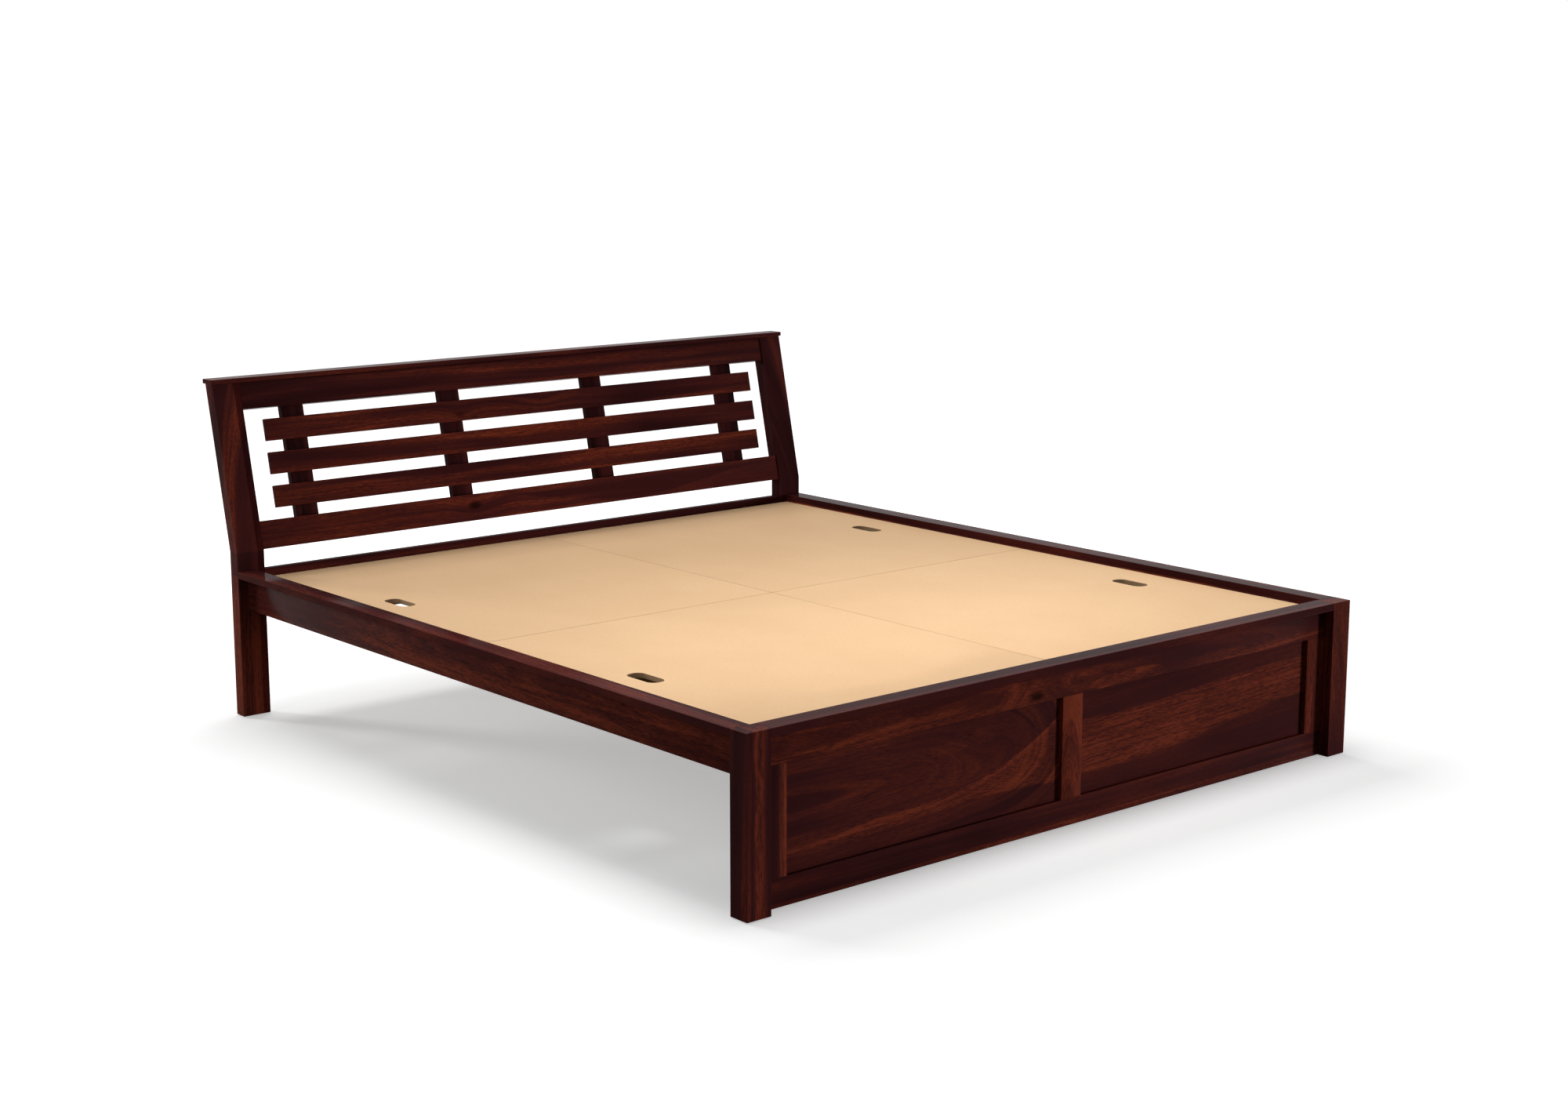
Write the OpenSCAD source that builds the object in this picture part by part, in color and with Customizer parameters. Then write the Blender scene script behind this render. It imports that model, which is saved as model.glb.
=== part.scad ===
// Wide platform bed frame. The foot end is a frame with two recessed panels between posts, the side
// rails and the foot end carry flat caps, the slatted headboard leans back, and the deck is four loose
// panels with finger slots. The origin is on the floor at the centre of the outline, the foot end is at
// -Y and the head end at +Y.

/* [Mattress space] */
// Clear width between the side caps
recess_w = 1826; // [1400:1:2000]
// Clear length from the foot end to the head end
recess_l = 2036; // [1880:1:2200]
// Depth of the recess from the cap tops down to the deck
recess_depth = 22; // [19:1:30]
// Height of the cap tops above the floor
bed_h = 392; // [370:1:460]

/* [Caps] */
// Width of a side cap
side_cap_w = 52; // [46:1:70]
// Thickness of the caps
cap_t = 18; // [15:1:25]
// Number of dowels along each cap
cap_dowel_count = 5; // [3:1:7]

/* [Side rails] */
// Thickness of a side rail
rail_t = 25; // [22:1:30]
// Height of a side rail
rail_h = 87; // [80:1:110]

/* [Foot end] */
// Width of a foot post, across the bed
foot_post_w = 64; // [58:1:90]
// Depth of a foot post, along the bed
foot_post_d = 53; // [48:1:80]
// Thickness of the framed panel between the foot posts
foot_frame_t = 26; // [22:1:32]
// Height of the foot frame above the floor
foot_clear = 4; // [3:1:40]
// Height of the top rail of the foot frame
foot_top_rail_h = 69; // [66:1:90]
// Height of the bottom rail of the foot frame
foot_bottom_rail_h = 63; // [50:1:90]
// Width of each end stile of the foot frame
foot_end_stile_w = 63; // [50:1:90]
// Width of the middle stile of the foot frame
foot_mid_stile_w = 64; // [50:1:90]
// Thickness of the two foot panels
foot_panel_t = 15; // [12:0.5:18]
// Width of the rebate that a foot panel lies in
foot_panel_lap = 7; // [5:1:8]

/* [Head end] */
// Width of a head post, across the bed
head_post_w = 78; // [72:1:100]
// Depth of a head post, along the bed
head_post_d = 40; // [38:1:55]
// Height at which the head posts start to lean back
bend_z = 441; // [430:1:520]
// Angle that the headboard leans back, in degrees
lean = 12.7; // [5:0.1:18]
// Thickness of the rail between the head posts at the height of the caps
head_bed_rail_t = 18; // [18:1:30]
// Height of that rail
head_bed_rail_h = 105; // [90:1:140]
// Thickness of the two leaning headboard rails
head_rail_t = 32; // [29:1:36]
// Distance that the headboard rails stand back from the front of the posts
head_rail_recess = 4.4; // [1:0.1:6]
// Height of the lower headboard rail
lower_rail_h = 74; // [60:1:100]
// Height of the lower headboard rail above the bend in the posts
lower_rail_rise = 2.5; // [0:0.5:30]
// Height of the top headboard rail, up to the front of the head cap
top_rail_h = 71; // [60:1:100]
// Height of a headboard slat
slat_h = 58.5; // [50:0.5:80]
// Thickness of a headboard slat
slat_t = 11.5; // [10:0.5:12.5]
// Gap above and below each headboard slat
slat_gap = 30.3; // [10:0.1:60]
// Distance from the end of a slat to the post
slat_end_gap = 58.6; // [10:0.1:90]
// Width of a headboard upright
upright_w = 66; // [50:1:90]
// Thickness of a headboard upright
upright_t = 18.4; // [16:0.2:19]
// Distance from a post to the centre of the nearest upright
upright_inset = 152; // [130:1:200]
// Thickness of the head cap
head_cap_t = 12; // [10:1:20]
// Distance that the head cap stands past the posts at each side
head_cap_side = 5; // [0:1:20]
// Distance that the head cap stands past the posts at the front and the back
head_cap_edge = 4; // [0:1:20]

/* [Deck] */
// Thickness of the deck panels
deck_t = 12; // [9:1:18]
// Gap round each deck panel
deck_gap = 1.5; // [1:0.5:4]
// Width of a finger slot, across the bed
slot_w = 44; // [41:1:60]
// Length of a finger slot, along the bed
slot_l = 104; // [70:1:130]
// Radius of the corners of a finger slot
slot_r = 20; // [8:1:20]
// Distance from the side rail to the centre of a finger slot
slot_inset = 125.5; // [90:0.5:300]

/* [Deck supports] */
// Thickness of the ledgers that the deck lies on
ledger_t = 25; // [20:1:35]
// Height of the ledgers
ledger_h = 45; // [38:1:52]
// Thickness of a cross bearer, along the bed
bearer_t = 35; // [25:1:50]
// Height of a cross bearer
bearer_h = 60; // [44:2:70]
// Distance between the three middle cross bearers
bearer_pitch = 400; // [350:1:430]
// Distance from each end of the mattress space to the centre of the end bearer
bearer_inset = 218; // [190:1:260]
// Width of the centre beam
beam_w = 45; // [40:1:60]
// Height of the centre beam
beam_h = 70; // [68:1:90]
// Height of the tongues by which the bearers and the beam hang in the ledgers
tongue_h = 20; // [15:1:24]
// Width of the square centre legs
leg_w = 45; // [35:1:60]

/* [Joinery] */
// Thickness of the tenons of the foot frame and of the bed rail at the head
tenon_t = 8; // [6:0.5:9]
// Length of the tenons of the foot stiles
stile_tenon_l = 22; // [10:1:24]
// Length of the tenons of the foot rails and of the bed rail at the head
post_tenon_l = 16; // [10:1:17]
// Thickness of the tenons of the side rails
side_tenon_t = 10; // [8:0.5:12]
// Length of the tenons of the side rails
side_tenon_l = 22; // [10:1:24]
// Thickness of the tenons of the headboard rails
head_tenon_t = 12; // [8:1:16]
// Length of the tenons of the headboard rails
head_tenon_l = 24; // [10:1:40]
// Length of the tenons of the headboard uprights
upright_tenon_l = 15; // [8:1:20]
// Width of the square tenons on top of the centre legs
leg_tenon_w = 25; // [15:1:30]
// Length of the tenons on top of the centre legs
leg_tenon_l = 20; // [10:1:25]
// Shoulder left on each side of a tenon
shoulder = 10; // [6:1:14]
// Slack at each side of a tenon, a tongue or a housing
fit_gap = 0.2; // [0.1:0.05:0.4]
// Depth left free behind a tenon or a dowel
end_gap = 1; // [0.5:0.1:2]

/* [Fasteners] */
// Diameter of the dowels
dowel_d = 8; // [6:0.5:9]
// Length of the dowels in the caps of the bed
dowel_l = 30; // [24:1:34]
// Depth of the upright dowels in the caps of the bed
dowel_in_cap = 11; // [8:1:12]
// Length of the dowels in the head cap
head_dowel_l = 27; // [20:1:40]
// Depth of those dowels in the head cap
dowel_in_head_cap = 7; // [5:1:8]
// Length of each leg of a corner iron
iron_leg = 50; // [48:1:60]
// Height of a corner iron
iron_h = 36; // [30:1:40]
// Thickness of a corner iron
iron_t = 3; // [2:0.5:4]
// Distance from the corner to the near screw of a corner iron
iron_near_hole = 19; // [18:1:22]
// Distance from the corner to the far screw of a corner iron
iron_far_hole = 41; // [34:1:42]
// Shank diameter of the wood screws
screw_d = 4.5; // [3.5:0.5:5]
// Head diameter of the wood screws
screw_head_d = 9; // [7:0.5:10]
// Length of the screws of the corner irons
iron_screw_l = 17; // [12:1:18]
// Length of the screws of the ledgers
ledger_screw_l = 38; // [30:1:42]
// Length of the screws that hold the slats
slat_screw_l = 26; // [22:1:27]
// Diameter of a floor glide
glide_d = 26; // [18:1:34]
// Thickness of a floor glide
glide_t = 2; // [1:0.5:3]

/* [Hidden] */
$fn = 48;

left = -1;
right = 1;
foot = -1;
head = 1;
cut = 1; // how far a cutting shape reaches past the face it cuts

// Places across the bed
half_w = recess_w / 2 + side_cap_w;
recess_x = recess_w / 2;
rail_x = recess_x + rail_t / 2;
foot_post_x = half_w - foot_post_w;
head_post_x = half_w - head_post_w;
foot_stile_x = foot_post_x - foot_end_stile_w;

// Heights
cap_z = bed_h - cap_t;
deck_top = bed_h - recess_depth;
deck_z = deck_top - deck_t;
rail_z = cap_z - rail_h;
foot_top_rail_z = cap_z - foot_top_rail_h;
foot_bottom_rail_top = foot_clear + foot_bottom_rail_h;
tongue_z = deck_z - tongue_h;
halving_z = deck_z - bearer_h / 2;
ledger_z = deck_z - ledger_h;
beam_z = deck_z - beam_h;
iron_z = deck_z - iron_h - 5;

// Headboard measures along the lean, upwards from the bend and backwards from the front of the posts
slat_count = 3;
upright_count = 4;
lower_rail_top = lower_rail_rise + lower_rail_h;
slat_step = slat_h + slat_gap;
top_rail_bottom = lower_rail_top + slat_count * slat_step + slat_gap;
lean_length = top_rail_bottom + top_rail_h;
head_rail_back = head_rail_recess + head_rail_t;
upright_front = head_rail_back - upright_t;
upright_step = 2 * (head_post_x - upright_inset) / (upright_count - 1);
head_tenon_y = head_rail_recess + (head_rail_t - head_tenon_t) / 2;
head_cap_z = bend_z + lean_length * cos(lean);
lean_back = (head_cap_z - bend_z) * tan(lean);

// Places along the bed
length = foot_post_d + recess_l + lean_back + head_post_d + head_cap_edge;
foot_y = -length / 2;
recess_y0 = foot_y + foot_post_d;
recess_y1 = recess_y0 + recess_l;
middle_y = (recess_y0 + recess_y1) / 2;
bearer_count = 5;
foot_frame_y = recess_y0 - foot_frame_t;
foot_tenon_y = foot_frame_y + foot_frame_t / 2 - tenon_t / 2 - 1;
head_bed_tenon_y = recess_y1 + (head_bed_rail_t - tenon_t) / 2;
end_ledger_x = recess_x - iron_leg - 5;

// Screws and dowels
screw_gap = 0.1;
screw_head_h = 2.6;
screw_tip_l = 4;
glide_pin_d = 4;
glide_pin_l = 14;
ledger_screw_z = ledger_z + 11;
side_ledger_screws = 5;
end_ledger_screws = 6;
ledger_screw_edge = 40;
slat_screw_rise = 14;
head_dowel_count = 5;

dark_wood = [0.33, 0.11, 0.07];
board = [0.86, 0.70, 0.52];
pale_wood = [0.72, 0.55, 0.36];
steel = [0.70, 0.71, 0.72];
plastic = [0.12, 0.12, 0.12];

// A block between two corners
module block(low, high) {
    translate(low) cube(high - low);
}

// Sets its children in the leaning plane of the headboard, up from the bend and back from the front
module leaning() {
    translate([0, recess_y1, bend_z]) rotate([-lean, 0, 0]) children();
}

// Repeats its children in a row between two places
module row(count, from, to) {
    for (i = [0 : count - 1]) translate(from + (to - from) * i / (count - 1)) children();
}

// A wood screw pointing along +Z with its head flush at z = 0, grown by gap to make its hole
module screw(l, gap = 0) {
    d = screw_d + 2 * gap;
    cylinder(d = d, h = l - screw_tip_l);
    translate([0, 0, l - screw_tip_l]) cylinder(d1 = d, d2 = d / 3, h = screw_tip_l + gap);
    cylinder(d1 = screw_head_d + 2 * gap, d2 = d, h = screw_head_h + gap);
}

module screw_hole(l) {
    screw(l, screw_gap);
    translate([0, 0, -cut]) cylinder(d = screw_head_d + 2 * screw_gap, h = cut + 0.01);
}

// A dowel along +Z from z = 0, grown by gap to make its hole
module dowel(l, gap = 0) {
    end = gap > 0 ? end_gap : 0;
    translate([0, 0, -end]) cylinder(d = dowel_d + 2 * gap, h = l + 2 * end);
}

// Fastener places, shared by each fastener, the pieces it goes into and their holes

module at_irons() {
    for (side = [left, right]) for (end = [foot, head])
        translate([side * recess_x, end == foot ? recess_y0 : recess_y1, iron_z])
            mirror([side == right ? 1 : 0, 0, 0]) mirror([0, end == head ? 1 : 0, 0]) children();
}

module at_iron_screws() {
    at_irons() for (d = [iron_near_hole, iron_far_hole]) {
        translate([d, iron_t, iron_h / 2]) rotate([90, 0, 0]) children();
        translate([iron_t, d, iron_h / 2]) rotate([0, -90, 0]) children();
    }
}

module at_side_ledger_screws() {
    y0 = recess_y0 + iron_leg + 5 + ledger_screw_edge;
    y1 = recess_y1 - iron_leg - 5 - ledger_screw_edge;
    x = recess_x - ledger_t;
    for (side = [left, right])
        row(side_ledger_screws, [side * x, y0, ledger_screw_z], [side * x, y1, ledger_screw_z])
            rotate([0, side * 90, 0]) children();
}

module at_end_ledger_screws(end) {
    x = end_ledger_x - ledger_screw_edge;
    y = end == foot ? recess_y0 + ledger_t : recess_y1 - ledger_t;
    row(end_ledger_screws, [-x, y, ledger_screw_z], [x, y, ledger_screw_z])
        rotate([end == foot ? 90 : -90, 0, 0]) children();
}

module at_slat_screws() {
    leaning()
        for (i = [0 : upright_count - 1]) for (k = [0 : slat_count - 1]) for (side = [-1, 1])
            translate([upright_x(i), head_rail_back, slat_z(k) + slat_h / 2 + side * slat_screw_rise])
                rotate([90, 0, 0]) children();
}

module at_side_cap_dowels() {
    inset = recess_l / (2 * cap_dowel_count);
    z = cap_z + dowel_in_cap - dowel_l;
    for (side = [left, right])
        row(cap_dowel_count, [side * rail_x, recess_y0 + inset, z], [side * rail_x, recess_y1 - inset, z])
            children();
}

module at_foot_cap_dowels() {
    x = foot_post_x * (1 - 1 / cap_dowel_count);
    y = recess_y0 - foot_frame_t / 2;
    z = cap_z + dowel_in_cap - dowel_l;
    row(cap_dowel_count, [-x, y, z], [x, y, z]) children();
}

// The dowels that lie along the caps, half in a cap and half in a post
module at_cap_end_dowels() {
    z = cap_z + cap_t / 2;
    for (side = [left, right]) {
        for (y = [recess_y0, recess_y1])
            translate([side * (half_w - side_cap_w / 2), y - dowel_l / 2, z]) rotate([-90, 0, 0]) children();
        translate([side * foot_post_x - dowel_l / 2, foot_y + foot_post_d / 2, z])
            rotate([0, 90, 0]) children();
    }
}

module at_head_cap_dowels() {
    x = half_w - head_post_w / 2;
    y = recess_y1 + lean_back + head_post_d / 2 - 2;
    z = head_cap_z + dowel_in_head_cap - head_dowel_l;
    row(head_dowel_count, [-x, y, z], [x, y, z]) children();
}

module at_glides() {
    for (side = [left, right]) {
        translate([side * (half_w - foot_post_w / 2), foot_y + foot_post_d / 2, 0]) children();
        translate([side * (half_w - head_post_w / 2), recess_y1 + head_post_d / 2, 0]) children();
    }
    for (end = [foot, head]) translate([0, leg_y(end), 0]) children();
}

module glide_hole() {
    cylinder(d = glide_pin_d + 2 * screw_gap, h = glide_t + glide_pin_l + end_gap);
}

// Tenons, grown by gap to make their mortises

module foot_rail_tenons(z0, z1, gap = 0) {
    x = foot_post_x + post_tenon_l + (gap > 0 ? end_gap : 0);
    block([-x, foot_tenon_y - gap, z0 + shoulder - gap],
        [x, foot_tenon_y + tenon_t + gap, z1 - shoulder + gap]);
}

module foot_stile_tenons(x0, x1, gap = 0) {
    l = stile_tenon_l + (gap > 0 ? end_gap : 0);
    block([x0 + shoulder - gap, foot_tenon_y - gap, foot_bottom_rail_top - l],
        [x1 - shoulder + gap, foot_tenon_y + tenon_t + gap, foot_top_rail_z + l]);
}

module side_rail_tenons(side, gap = 0) {
    l = side_tenon_l + (gap > 0 ? end_gap : 0);
    translate([side * rail_x, 0, 0])
        block([-side_tenon_t / 2 - gap, recess_y0 - l, rail_z + shoulder - gap],
            [side_tenon_t / 2 + gap, recess_y1 + l, cap_z - shoulder + gap]);
}

module head_bed_rail_tenons(gap = 0) {
    x = head_post_x + post_tenon_l + (gap > 0 ? end_gap : 0);
    block([-x, head_bed_tenon_y - gap, bed_h - head_bed_rail_h + shoulder - gap],
        [x, head_bed_tenon_y + tenon_t + gap, bed_h - shoulder + gap]);
}

module head_rail_tenons(z0, z1, gap = 0) {
    x = head_post_x + head_tenon_l + (gap > 0 ? end_gap : 0);
    leaning() block([-x, head_tenon_y - gap, z0 + shoulder - gap],
        [x, head_tenon_y + head_tenon_t + gap, z1 - shoulder + gap]);
}

module upright_tenon(i, gap = 0) {
    l = upright_tenon_l + (gap > 0 ? end_gap : 0);
    y = upright_front + (upright_t - tenon_t) / 2;
    half = upright_w / 2 - shoulder + gap;
    leaning() translate([upright_x(i), 0, 0])
        block([-half, y - gap, lower_rail_top - l], [half, y + tenon_t + gap, top_rail_bottom + l]);
}

module leg_tenon(end, gap = 0) {
    half = leg_tenon_w / 2 + gap;
    l = leg_tenon_l + (gap > 0 ? end_gap : 0);
    translate([0, leg_y(end), beam_z]) block([-half, -half, -cut], [half, half, l]);
}

function upright_x(i) = upright_inset - head_post_x + i * upright_step;
function slat_z(k) = lower_rail_top + slat_gap + k * slat_step;
function bearer_y(i) =
    i == 0 ? recess_y0 + bearer_inset
    : i == bearer_count - 1 ? recess_y1 - bearer_inset
    : middle_y + (i - (bearer_count - 1) / 2) * bearer_pitch;
function leg_y(end) = middle_y + end * bearer_pitch;

// Foot end

module foot_post(side) {
    x = side * (half_w - foot_post_w / 2);
    color(dark_wood) difference() {
        translate([x, 0, 0])
            block([-foot_post_w / 2, foot_y, glide_t], [foot_post_w / 2, recess_y0, bed_h]);
        foot_rail_tenons(foot_clear, foot_bottom_rail_top, fit_gap);
        foot_rail_tenons(foot_top_rail_z, cap_z, fit_gap);
        side_rail_tenons(side, fit_gap);
        at_cap_end_dowels() dowel(dowel_l, screw_gap);
        at_iron_screws() screw_hole(iron_screw_l);
        at_glides() glide_hole();
    }
}

// The rebates round both panels, at the back of the foot frame
module foot_rebates() {
    for (side = [left, right])
        translate([side * (foot_mid_stile_w / 2 + foot_stile_x) / 2, 0, 0])
            block([-foot_opening_w / 2 - foot_panel_lap, recess_y0 - foot_panel_t,
                foot_bottom_rail_top - foot_panel_lap],
                [foot_opening_w / 2 + foot_panel_lap, recess_y0 + cut, foot_top_rail_z + foot_panel_lap]);
}

foot_opening_w = foot_stile_x - foot_mid_stile_w / 2;

module foot_rail(z0, z1) {
    color(dark_wood) difference() {
        union() {
            block([-foot_post_x, foot_frame_y, z0], [foot_post_x, recess_y0, z1]);
            foot_rail_tenons(z0, z1);
        }
        foot_rebates();
        foot_stile_tenons(foot_stile_x, foot_post_x, fit_gap);
        foot_stile_tenons(-foot_post_x, -foot_stile_x, fit_gap);
        foot_stile_tenons(-foot_mid_stile_w / 2, foot_mid_stile_w / 2, fit_gap);
        if (z1 == cap_z) {
            at_foot_cap_dowels() dowel(dowel_l, screw_gap);
            at_iron_screws() screw_hole(iron_screw_l);
            at_end_ledger_screws(foot) screw_hole(ledger_screw_l);
        }
    }
}

module foot_stile(x0, x1) {
    color(dark_wood) difference() {
        union() {
            block([x0, foot_frame_y, foot_bottom_rail_top], [x1, recess_y0, foot_top_rail_z]);
            foot_stile_tenons(x0, x1);
        }
        foot_rebates();
    }
}

module foot_panel(side) {
    half = foot_opening_w / 2 + foot_panel_lap - fit_gap;
    z_lap = foot_panel_lap - fit_gap;
    color(dark_wood) translate([side * (foot_mid_stile_w / 2 + foot_stile_x) / 2, 0, 0])
        block([-half, recess_y0 - foot_panel_t, foot_bottom_rail_top - z_lap],
            [half, recess_y0, foot_top_rail_z + z_lap]);
}

module foot_cap() {
    color(dark_wood) difference() {
        block([-foot_post_x, foot_y, cap_z], [foot_post_x, recess_y0, bed_h]);
        at_foot_cap_dowels() dowel(dowel_l, screw_gap);
        at_cap_end_dowels() dowel(dowel_l, screw_gap);
    }
}

// Sides

module side_rail(side) {
    color(dark_wood) difference() {
        union() {
            translate([side * rail_x, 0, 0])
                block([-rail_t / 2, recess_y0, rail_z], [rail_t / 2, recess_y1, cap_z]);
            side_rail_tenons(side);
        }
        at_side_cap_dowels() dowel(dowel_l, screw_gap);
        at_iron_screws() screw_hole(iron_screw_l);
        at_side_ledger_screws() screw_hole(ledger_screw_l);
    }
}

module side_cap(side) {
    color(dark_wood) difference() {
        translate([side * (half_w - side_cap_w / 2), 0, 0])
            block([-side_cap_w / 2, recess_y0, cap_z], [side_cap_w / 2, recess_y1, bed_h]);
        at_side_cap_dowels() dowel(dowel_l, screw_gap);
        at_cap_end_dowels() dowel(dowel_l, screw_gap);
    }
}

// Head end

module head_post(side) {
    y0 = recess_y1;
    y1 = recess_y1 + head_post_d;
    profile = [
        [y0, glide_t], [y1, glide_t], [y1, bend_z],
        [y1 + lean_back, head_cap_z], [y0 + lean_back, head_cap_z], [y0, bend_z]
    ];
    color(dark_wood) difference() {
        translate([side * (half_w - head_post_w / 2) - head_post_w / 2, 0, 0])
            rotate([90, 0, 90]) linear_extrude(head_post_w) polygon(profile);
        side_rail_tenons(side, fit_gap);
        head_bed_rail_tenons(fit_gap);
        head_rail_tenons(lower_rail_rise, lower_rail_top, fit_gap);
        head_rail_tenons(top_rail_bottom, lean_length, fit_gap);
        at_cap_end_dowels() dowel(dowel_l, screw_gap);
        at_head_cap_dowels() dowel(head_dowel_l, screw_gap);
        at_iron_screws() screw_hole(iron_screw_l);
        at_glides() glide_hole();
    }
}

module head_bed_rail() {
    color(dark_wood) difference() {
        union() {
            block([-head_post_x, recess_y1, bed_h - head_bed_rail_h],
                [head_post_x, recess_y1 + head_bed_rail_t, bed_h]);
            head_bed_rail_tenons();
        }
        at_iron_screws() screw_hole(iron_screw_l);
        at_end_ledger_screws(head) screw_hole(ledger_screw_l);
    }
}

module head_lower_rail() {
    color(dark_wood) difference() {
        union() {
            leaning() block([-head_post_x, head_rail_recess, lower_rail_rise],
                [head_post_x, head_rail_back, lower_rail_top]);
            head_rail_tenons(lower_rail_rise, lower_rail_top);
        }
        for (i = [0 : upright_count - 1]) upright_tenon(i, fit_gap);
    }
}

// The top rail leans too, and its top is cut level to carry the head cap
module head_top_rail() {
    above = 40;
    color(dark_wood) difference() {
        union() {
            leaning() block([-head_post_x, head_rail_recess, top_rail_bottom],
                [head_post_x, head_rail_back, lean_length + above]);
            head_rail_tenons(top_rail_bottom, lean_length);
        }
        block([-half_w, recess_y1, head_cap_z], [half_w, -foot_y + above, head_cap_z + 2 * above]);
        for (i = [0 : upright_count - 1]) upright_tenon(i, fit_gap);
        at_head_cap_dowels() dowel(head_dowel_l, screw_gap);
    }
}

module head_cap() {
    y0 = recess_y1 + lean_back;
    x = half_w + head_cap_side;
    color(dark_wood) difference() {
        block([-x, y0 - head_cap_edge, head_cap_z],
            [x, y0 + head_post_d + head_cap_edge, head_cap_z + head_cap_t]);
        at_head_cap_dowels() dowel(head_dowel_l, screw_gap);
    }
}

module head_upright(i) {
    color(dark_wood) difference() {
        union() {
            leaning() translate([upright_x(i), 0, 0])
                block([-upright_w / 2, upright_front, lower_rail_top],
                    [upright_w / 2, head_rail_back, top_rail_bottom]);
            upright_tenon(i);
        }
        at_slat_screws() screw_hole(slat_screw_l);
    }
}

module head_slat(k) {
    x = head_post_x - slat_end_gap;
    color(dark_wood) difference() {
        leaning() block([-x, upright_front - slat_t, slat_z(k)], [x, upright_front, slat_z(k) + slat_h]);
        at_slat_screws() screw_hole(slat_screw_l);
    }
}

// Deck supports

module side_ledger(side) {
    x = recess_x - ledger_t / 2;
    color(pale_wood) difference() {
        translate([side * x, 0, 0])
            block([-ledger_t / 2, recess_y0 + iron_leg + 5, ledger_z],
                [ledger_t / 2, recess_y1 - iron_leg - 5, deck_z]);
        for (i = [0 : bearer_count - 1]) translate([side * x, bearer_y(i), 0])
            block([-ledger_t, -bearer_t / 2 - fit_gap, tongue_z],
                [ledger_t, bearer_t / 2 + fit_gap, deck_z + cut]);
        at_side_ledger_screws() screw_hole(ledger_screw_l);
    }
}

module end_ledger(end) {
    y = end == foot ? recess_y0 : recess_y1 - ledger_t;
    half = beam_w / 2 + fit_gap;
    color(pale_wood) difference() {
        block([-end_ledger_x, y, ledger_z], [end_ledger_x, y + ledger_t, deck_z]);
        block([-half, y - cut, tongue_z], [half, y + ledger_t + cut, deck_z + cut]);
        at_end_ledger_screws(end) screw_hole(ledger_screw_l);
    }
}

module centre_beam() {
    end = ledger_t + 0.5;
    half = bearer_t / 2 + fit_gap;
    color(pale_wood) difference() {
        union() {
            block([-beam_w / 2, recess_y0 + end, beam_z], [beam_w / 2, recess_y1 - end, deck_z]);
            block([-beam_w / 2, recess_y0 + end_gap, tongue_z], [beam_w / 2, recess_y1 - end_gap, deck_z]);
        }
        for (i = [0 : bearer_count - 1]) translate([0, bearer_y(i), 0])
            block([-beam_w, -half, halving_z], [beam_w, half, deck_z + cut]);
        for (end = [foot, head]) leg_tenon(end, fit_gap);
    }
}

module cross_bearer(i) {
    end = ledger_t + 0.5;
    half = beam_w / 2 + fit_gap;
    color(pale_wood) translate([0, bearer_y(i), 0]) difference() {
        union() {
            block([end - recess_x, -bearer_t / 2, deck_z - bearer_h], [recess_x - end, bearer_t / 2, deck_z]);
            block([end_gap - recess_x, -bearer_t / 2, tongue_z], [recess_x - end_gap, bearer_t / 2, deck_z]);
        }
        block([-half, -bearer_t, deck_z - bearer_h - cut], [half, bearer_t, halving_z]);
    }
}

module centre_leg(end) {
    color(pale_wood) difference() {
        union() {
            translate([0, leg_y(end), 0])
                block([-leg_w / 2, -leg_w / 2, glide_t], [leg_w / 2, leg_w / 2, beam_z]);
            leg_tenon(end);
        }
        at_glides() glide_hole();
    }
}

// A finger slot with round corners, cut right through the panel
module finger_slot() {
    w = slot_w / 2;
    l = slot_l / 2;
    linear_extrude(deck_t + 2 * cut) {
        square([slot_w - 2 * slot_r, slot_l], center = true);
        square([slot_w, slot_l - 2 * slot_r], center = true);
        for (x = [slot_r - w, w - slot_r]) for (y = [slot_r - l, l - slot_r])
            translate([x, y]) circle(slot_r);
    }
}

module deck_panel(side, end) {
    w = recess_w / 2 - deck_gap * 1.5;
    l = recess_l / 2 - deck_gap * 1.5;
    y = middle_y + end * recess_l / 4 - end * deck_gap / 4;
    color(board) difference() {
        translate([side * (deck_gap + w) / 2, y, deck_z]) block([-w / 2, -l / 2, 0], [w / 2, l / 2, deck_t]);
        translate([side * (recess_x - slot_inset), y, deck_z - cut]) finger_slot();
    }
}

// Hardware

module corner_irons() {
    color(steel) difference() {
        at_irons() {
            cube([iron_leg, iron_t, iron_h]);
            cube([iron_t, iron_leg, iron_h]);
        }
        at_iron_screws() screw_hole(iron_screw_l);
    }
}

module corner_screws() {
    color(steel) at_iron_screws() screw(iron_screw_l);
}

module ledger_screws() {
    color(steel) {
        at_side_ledger_screws() screw(ledger_screw_l);
        at_end_ledger_screws(foot) screw(ledger_screw_l);
        at_end_ledger_screws(head) screw(ledger_screw_l);
    }
}

module slat_screws() {
    color(steel) at_slat_screws() screw(slat_screw_l);
}

module cap_dowels() {
    color(pale_wood) {
        at_side_cap_dowels() dowel(dowel_l);
        at_foot_cap_dowels() dowel(dowel_l);
        at_cap_end_dowels() dowel(dowel_l);
    }
}

module head_cap_dowels() {
    color(pale_wood) at_head_cap_dowels() dowel(head_dowel_l);
}

module floor_glides() {
    color(plastic) at_glides() {
        cylinder(d = glide_d, h = glide_t);
        cylinder(d = glide_pin_d, h = glide_t + glide_pin_l);
    }
}

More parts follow.
